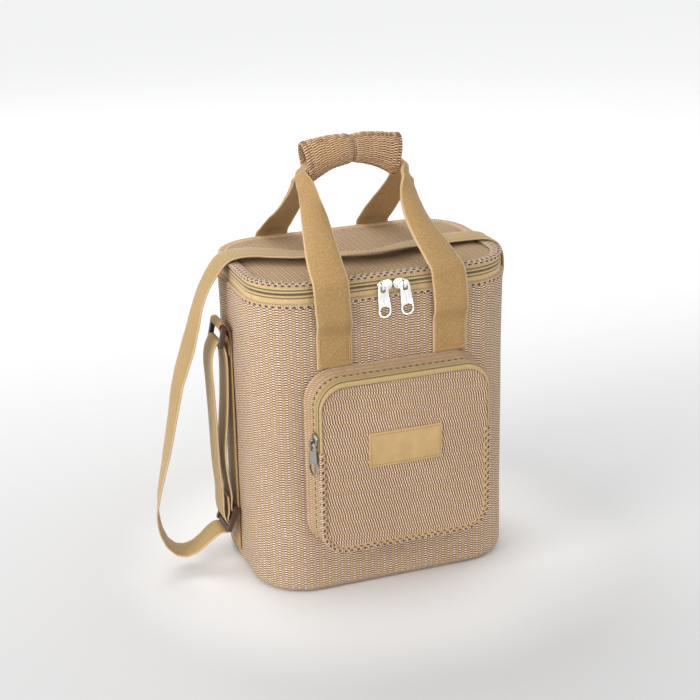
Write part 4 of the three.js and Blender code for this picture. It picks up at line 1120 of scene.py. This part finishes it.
def grip_ring(u, shrink, around=84):
    """One ring of the grip, from -1 at its left end to 1 at its right"""
    ends = abs(u) ** 1.5
    pinch = 1.6 * math.exp(-(u * GRIP_HALF / 2.6) ** 2)
    high = (27.4 + 13.2 * ends) / 2 - shrink - pinch
    deep = (28 - 1.4 * ends) / 2 - shrink - pinch
    slope = 0.45 * math.atan2(-20 * u, GRIP_HALF)
    x, z = GRIP_X + u * GRIP_HALF, GRIP_Z - 10 * u * u
    ring = []
    for j in range(around):
        angle = 2 * math.pi * j / around
        up = high * math.sin(angle)
        point = Vector((x - up * math.sin(slope), deep * math.cos(angle), z + up * math.cos(slope)))
        if not shrink:
            turned = math.tau * (j * 28 / around + 0.5 * round(x / 4.2))
            yarn = math.sin(turned) * math.cos(math.tau * x / 8.4)
            swell = 0.8 * noise.noise(point * 0.07) + 0.35 * yarn + 0.3 * noise.noise(point * 0.6)
            point += (point - Vector((x, 0, z))).normalized() * swell
        ring.append(point)
    return ring


def out_of_grip(point, u):
    return (point - Vector((point.x, 0, GRIP_Z - 10 * u * u))).normalized()


def round_grip(u, lift=0.15):
    ring = grip_ring(u, -lift)
    return [(p, out_of_grip(p, u)) for p in [*ring, ring[0]]]


def build_grip():
    turns = [i / 44 - 1 for i in range(89)]
    stops = [*((u, 0) for u in turns), (1.012, 0.9), (1.012, 1.7), *((u, 2.4) for u in reversed(turns[::4])),
             (-1.012, 1.7), (-1.012, 0.9)]
    grip = loft("padded_grip", [grip_ring(*stop) for stop in stops], loop_path=True)
    for corner in grip.data.uv_layers["cloth"].data:
        corner.uv = (corner.uv.y, corner.uv.x)
    smooth(grip, 70)
    dress(grip, GRIP, "woven", "grip_wrap", body="back_handle")

    seam = 27
    length_row = [(grip_ring(u, -0.15)[seam], out_of_grip(grip_ring(u, 0)[seam], u)) for u in turns]
    for name, rows, pitch, length, girth in (
            ("grip_stitches", [round_grip(-0.93), round_grip(0.93), length_row], 3.6, 2.6, 0.6),
            ("grip_pinch_stitches", [round_grip(-0.022, 0.1), round_grip(0.03, 0.1)], 2.9, 2.4, 0.5)):
        sew(name, rows, SEAM_THREAD, "woven", body="back_handle", pitch=pitch, length=length, girth=girth)


# Sliders, pulls, rings and the adjuster: modelled flat, then turned to their place

def combine(piece, tool, operation="DIFFERENCE"):
    modify(piece, "BOOLEAN", object=tool, operation=operation, solver="EXACT")
    bpy.data.objects.remove(tool)


def cut_hole(piece, low, high, radius, axis=2):
    combine(piece, block("cutter", low, high, radius, axis, 4))


def disc(piece, centre, radius, thick, operation):
    """Joins a round disc to a flat piece, or cuts it out"""
    bpy.ops.object.select_all(action="DESELECT")
    bpy.ops.mesh.primitive_cylinder_add(vertices=40, radius=radius * MM, depth=thick * MM,
                                        location=Vector(centre) * MM)
    bpy.ops.object.transform_apply(location=True, rotation=True, scale=True)
    combine(piece, bpy.context.object, operation)


def stand_at(piece, x_way, y_way, z_way, place):
    """Turns a finished flat piece so that its own X, Y and Z lie along these ways"""
    turned = Matrix((x_way, y_way, z_way)).transposed().to_4x4()
    turned.translation = Vector(place) * MM
    piece.data.transform(turned)
    if turned.to_3x3().determinant() < 0:
        piece.data.flip_normals()


def slider(name, turn):
    """The slider's shield, and the bail that holds the pull"""
    plate = block(name, (-4.6, -5.4, 0.3), (10.4, 5.4, 3.1), 5, steps=6)
    cut_rows(plate, {0: (-1.6, 2.4, 5.4)})
    move_points(plate, lambda co, n: Vector((co.x, co.y * (1 - 0.3 * clamp((0.0054 - co.x) / 0.010)), co.z)))
    round_off(plate, 0.7, 3)
    plate.data.transform(Matrix.Rotation(turn, 4, "Z"))
    bail = block("bail", (-1.15, -4.3, 2.6), (1.15, 4.4, 6.9), 1.9, axis=0, steps=5)
    cut_hole(bail, (-3, -3.2, 2), (3, 3.3, 5.9), 0.9, axis=0)
    round_off(bail, 0.35, 2)
    work_on(plate)
    bail.select_set(True)
    bpy.ops.object.join()
    smooth(plate, 50)
    return plate


def pull(name):
    """The tab: an eye round the bail, sides that widen to a round end, and a D window there"""
    tab = block(name, (-6.25, -24.4, 3.6), (6.25, 2.4, 5.0), 2.6, steps=6)
    widen = lambda y: 0.67 + 0.33 * min(1.0, (0.0024 - y) / 0.0268)
    move_points(tab, lambda co, n: Vector((co.x * widen(co.y), co.y, co.z)))
    disc(tab, (0, -24.4, 4.3), 6.25, 1.4, "UNION")
    disc(tab, (0, -24.4, 4.3), 4.85, 6, "DIFFERENCE")
    cut_hole(tab, (-4.6, -24.5, 2), (4.6, -21.3, 7), 0.8)
    cut_hole(tab, (-2.7, -6.8, 2), (2.7, 0.7, 7), 2.4)
    round_off(tab, 0.4, 3)
    smooth(tab, 50)
    return tab


def leaning(ways, degrees):
    """The ways of a hanging pull whose lower end has swung to the side"""
    turn = Matrix.Rotation(math.radians(degrees), 3, ways[2])
    return turn @ ways[0], turn @ ways[1], ways[2]


def build_sliders():
    up = Vector((0, 0, 1))
    wall = (Vector((1, 0, 0)), up, FRONTWARD)
    flank = (FRONTWARD, up, Vector((-1, 0, 0)))
    turned_out = (Vector((0.2, -0.98, 0)).normalized(), up, Vector((-0.98, -0.2, 0)).normalized())
    for shield_node, tab_node, finish, ways, hung, place, turn in (
            ("slider_left", "pull_left", NICKEL, wall, leaning(wall, 4.5), (-11.3, -85.7, ZIP), 0),
            ("slider_right", "pull_right", NICKEL, wall, leaning(wall, 6.5), (10.3, -85.7, ZIP), 180),
            ("pocket_slider", "pocket_pull", SHADED_NICKEL, flank, turned_out, (-87.2, -114.15, 168), 90)):
        shield = slider(shield_node + "_shield", math.radians(turn))
        tab = pull(tab_node + "_tab")
        for piece, node, own in ((shield, shield_node, ways), (tab, tab_node, hung)):
            stand_at(piece, *own, place)
            dress(piece, finish, "nickel", node, body=node)


def frame_with_bars(name, slots, pitch, bar, body, node, top, down, side=1):
    """A moulded frame 40 mm wide, thick at its sides, whose thinner bars carry the webbing"""
    high = slots * pitch + bar
    shape = block(name, (-20.15, bar / 2 - high, -2.2), (20.15, bar / 2, 2.2), 2.8, steps=5)
    for i in range(slots):
        cut_hole(shape, (-15.75, -bar / 2 - (i + 1) * pitch + bar, -4), (15.75, -bar / 2 - i * pitch, 4), 1.0)
    for z in (1.1, -6):
        cut_hole(shape, (-15.75, -high - 5, z), (15.75, bar + 5, z + 4.9), 0.4)
    round_off(shape, 0.6, 3)
    smooth(shape, 50)
    up = Vector((-down[0] * side, 0, -down[1])).normalized()
    along = Vector((0, 1, 0))
    stand_at(shape, along, up, along.cross(up), (top[0] * side, 16, top[1]))
    dress(shape, PLASTIC, "dark_plastic", node, body=body)


# The shoulder strap: each station is a place and the way across the webbing

RING_TOP = (-138.7, 250)
RING_LOW = (-142.4, 232.3)
ADJUSTER = (-139.3, 50.3)
BAR_TURN = 3.4


def station(x, z, y=16, across=(0, -1, 0)):
    return Vector((x, y, z)), Vector(across), 30, 1.5


def line(*rows):
    return [station(*row) for row in rows]


def wrap(centre, start, end, steps):
    """Round a bar, from one angle to another"""
    angles = [math.radians(start + (end - start) * i / steps) for i in range(steps + 1)]
    return line(*((centre[0] + BAR_TURN * math.cos(a), centre[1] + BAR_TURN * math.sin(a)) for a in angles))


def beside(*rows):
    """Places by how far down the adjuster and how far out from it they lie"""
    return line(*((ADJUSTER[0] - 0.357 * down - 0.934 * out, ADJUSTER[1] - 0.934 * down + 0.357 * out)
                  for down, out in rows))


def over_lid(*rows):
    """Places over the lid: x, y, the lift above its hem, and the degrees the webbing is turned"""
    found = []
    for x, y, lift, degrees in rows:
        angle = math.radians(degrees)
        found.append(station(x, 311.65 + lift, y, (0, -math.cos(angle), math.sin(angle))))
    return found


def mirrored(stations):
    return [(Vector((-p.x, p.y, p.z)), way, width, thick) for p, way, width, thick in stations]


def round_bar(*degrees):
    return [(BAR_TURN * math.sin(a), BAR_TURN * math.cos(a)) for a in map(math.radians, degrees)]


SIDE = [*line((-131.2, 15), (-131.2, 125), (-131.2, 226), (-131.2, 237), (-132.6, 245.5)),
        *wrap(RING_TOP, 55, 235, 6), *line((-135.4, 241), (-133.2, 234), (-133, 221))]
DOUBLED = [
    *beside((-21, 10.4), (-13, 6.8), (-6, 4.3), *round_bar(*range(0, 181, 30)), (-4.4, -2.1), (-7, 0.2),
            (-9.4, 2.6), (-13.5, 4.2), (-22.7, 6.9)),
    *line((-139.8, 92), (-141.8, 118), (-139.2, 146), (-136.8, 174), (-135.7, 210), (-136.6, 224)),
    *wrap(RING_LOW, 0, 160, 6),
    *line((-149.4, 225), (-151.2, 213), (-150.4, 190), (-149.2, 150), (-148.3, 107), (-146.3, 76)),
    *beside((-6, 10), (0.8, 6.4), (4.6, 3), (6.3, -0.2),
            *((11.5 + down, -out) for down, out in round_bar(-47, 11, 69))),
]
LOOP = [station(x, z, y, across) for x, z, y, *across in (
    (-148.6, 36.6, 16, 0, -1, 0), (-152.6, 35.4, 16, 0, -1, 0), (-158.4, 31.6, 16, -0.02, -1, 0),
    (-166.4, 25.2, 16, -0.08, -1, 0), (-175.4, 19.6, 16, -0.16, -0.98, -0.02),
    (-184.8, 17.8, 16, -0.22, -0.97, 0), (-193.4, 20.6, 16, -0.28, -0.94, 0.1),
    (-201.4, 29, 16, -0.32, -0.9, 0.26), (-207.6, 44, 16, -0.3, -0.88, 0.34),
    (-209.8, 62, 16, -0.24, -0.9, 0.36), (-207.4, 82, 16, -0.12, -0.93, 0.35),
    (-202.2, 104, 16, -0.06, -0.95, 0.3), (-196.4, 128, 16, 0.02, -0.96, 0.29),
    (-190.4, 155, 16, 0.06, -0.95, 0.3), (-182.6, 192, 16, 0.14, -0.95, 0.27),
    (-177, 210, 16, 0.2, -0.95, 0.2), (-170.3, 229, 16, 0.21, -0.96, 0.15),
    (-163.7, 250.4, 16.4, 0.14, -0.98, 0.13), (-157.5, 270.9, 17, 0.07, -0.99, 0.12),
    (-150.2, 287.6, 17.7, 0.05, -1, 0.06), (-141.6, 300.9, 18.3, 0.06, -1, 0),
)]
OVER = [
    station(-132.6, 311.2, 18.6, (0.06, -1, -0.02)),
    *over_lid((-122, 17.6, 3.8, 0), (-104, 14.5, 4.8, 0), (-86, 6.5, 3.9, 0), (-68, -3.5, 3.3, 3),
              (-46, -13.5, 3.4, 8), (-22, -22, 3.5, 11), (3, -27.5, 4.3, 14), (24, -24.5, 4.2, 12),
              (44, -19.5, 3.9, 8), (64, -15.5, 3.6, 5), (84, -10, 2.6, 1), (104, -7, 1.7, 0),
              (120, -9.5, 1.9, 0)),
]
FALL = line((131.8, 310.5, -12), (138.6, 302.4, -11), (143.4, 288, -6), (146.2, 272, 2.4), (147.4, 257.5, 10))
END = mirrored([*line((-147.7, 246, 15), (-147.3, 239)), *wrap(RING_LOW, 180, 450, 9),
                *line((-144.2, 238), (-145.3, 243))])


def build_shoulder_strap():
    for name, side in (("left", 1), ("right", -1)):
        strip = webbing("side_strap_" + name, SIDE if side == 1 else mirrored(SIDE))
        dress(strip, WEBBING, "handle_webbing", "side_webbing_" + name)
        ring = "ring_" + name
        frame_with_bars(name + "_ring_frame", 1, 18.1, 4.4, ring, ring, RING_TOP, (-3.7, -17.7), side)
    frame_with_bars("adjuster_frame", 2, 11.5, 4, "ring_left", "adjuster_left", (-135.19, 61.04),
                    (-0.357, -0.934))

    whole = [*DOUBLED, *LOOP, *OVER, *FALL, *END]
    loop_from = len(DOUBLED)
    split = loop_from + 13
    lid_from = loop_from + len(LOOP)
    fall_from = lid_from + len(OVER)
    end_from = fall_from + len(FALL)
    for name, first, last, node, body, blend in (
            ("strap_doubled", 0, loop_from, "strap_doubled_left", "ring_left", None),
            ("strap_loop_low", loop_from, split, "strap_loop_left", None,
             ("ring_left", "bag", (-0.19, 0.016, 0.05), (-0.19, 0.016, 0.145))),
            ("strap_loop_high", split, lid_from, None, None,
             ("bag", "lid", (-0.15, 0.016, 0.16), (-0.15, 0.016, 0.308))),
            ("strap_over_lid_webbing", lid_from, fall_from, "strap_over_lid", "lid", None),
            ("strap_fall_high", fall_from, end_from - 2, "strap_fall_right", None,
             ("bag", "lid", (0.14, 0, 0.272), (0.14, 0, 0.309))),
            ("strap_fall_low", end_from - 2, end_from, None, None,
             ("ring_right", "bag", (0.147, 0.01, 0.248), (0.147, 0.01, 0.268))),
            ("strap_end", end_from, len(whole) - 1, "strap_end_right", "ring_right", None)):
        piece = webbing(name, whole, 5, part_kept=(first, last))
        dress(piece, STRAPPING, "shoulder_webbing", *([node] if node else []), body=body, blend=blend)


for step in (place_camera, light_the_studio, build_body, build_zip, build_lid, build_pocket, build_handles,
             build_grip, build_sliders, build_shoulder_strap):
    step()
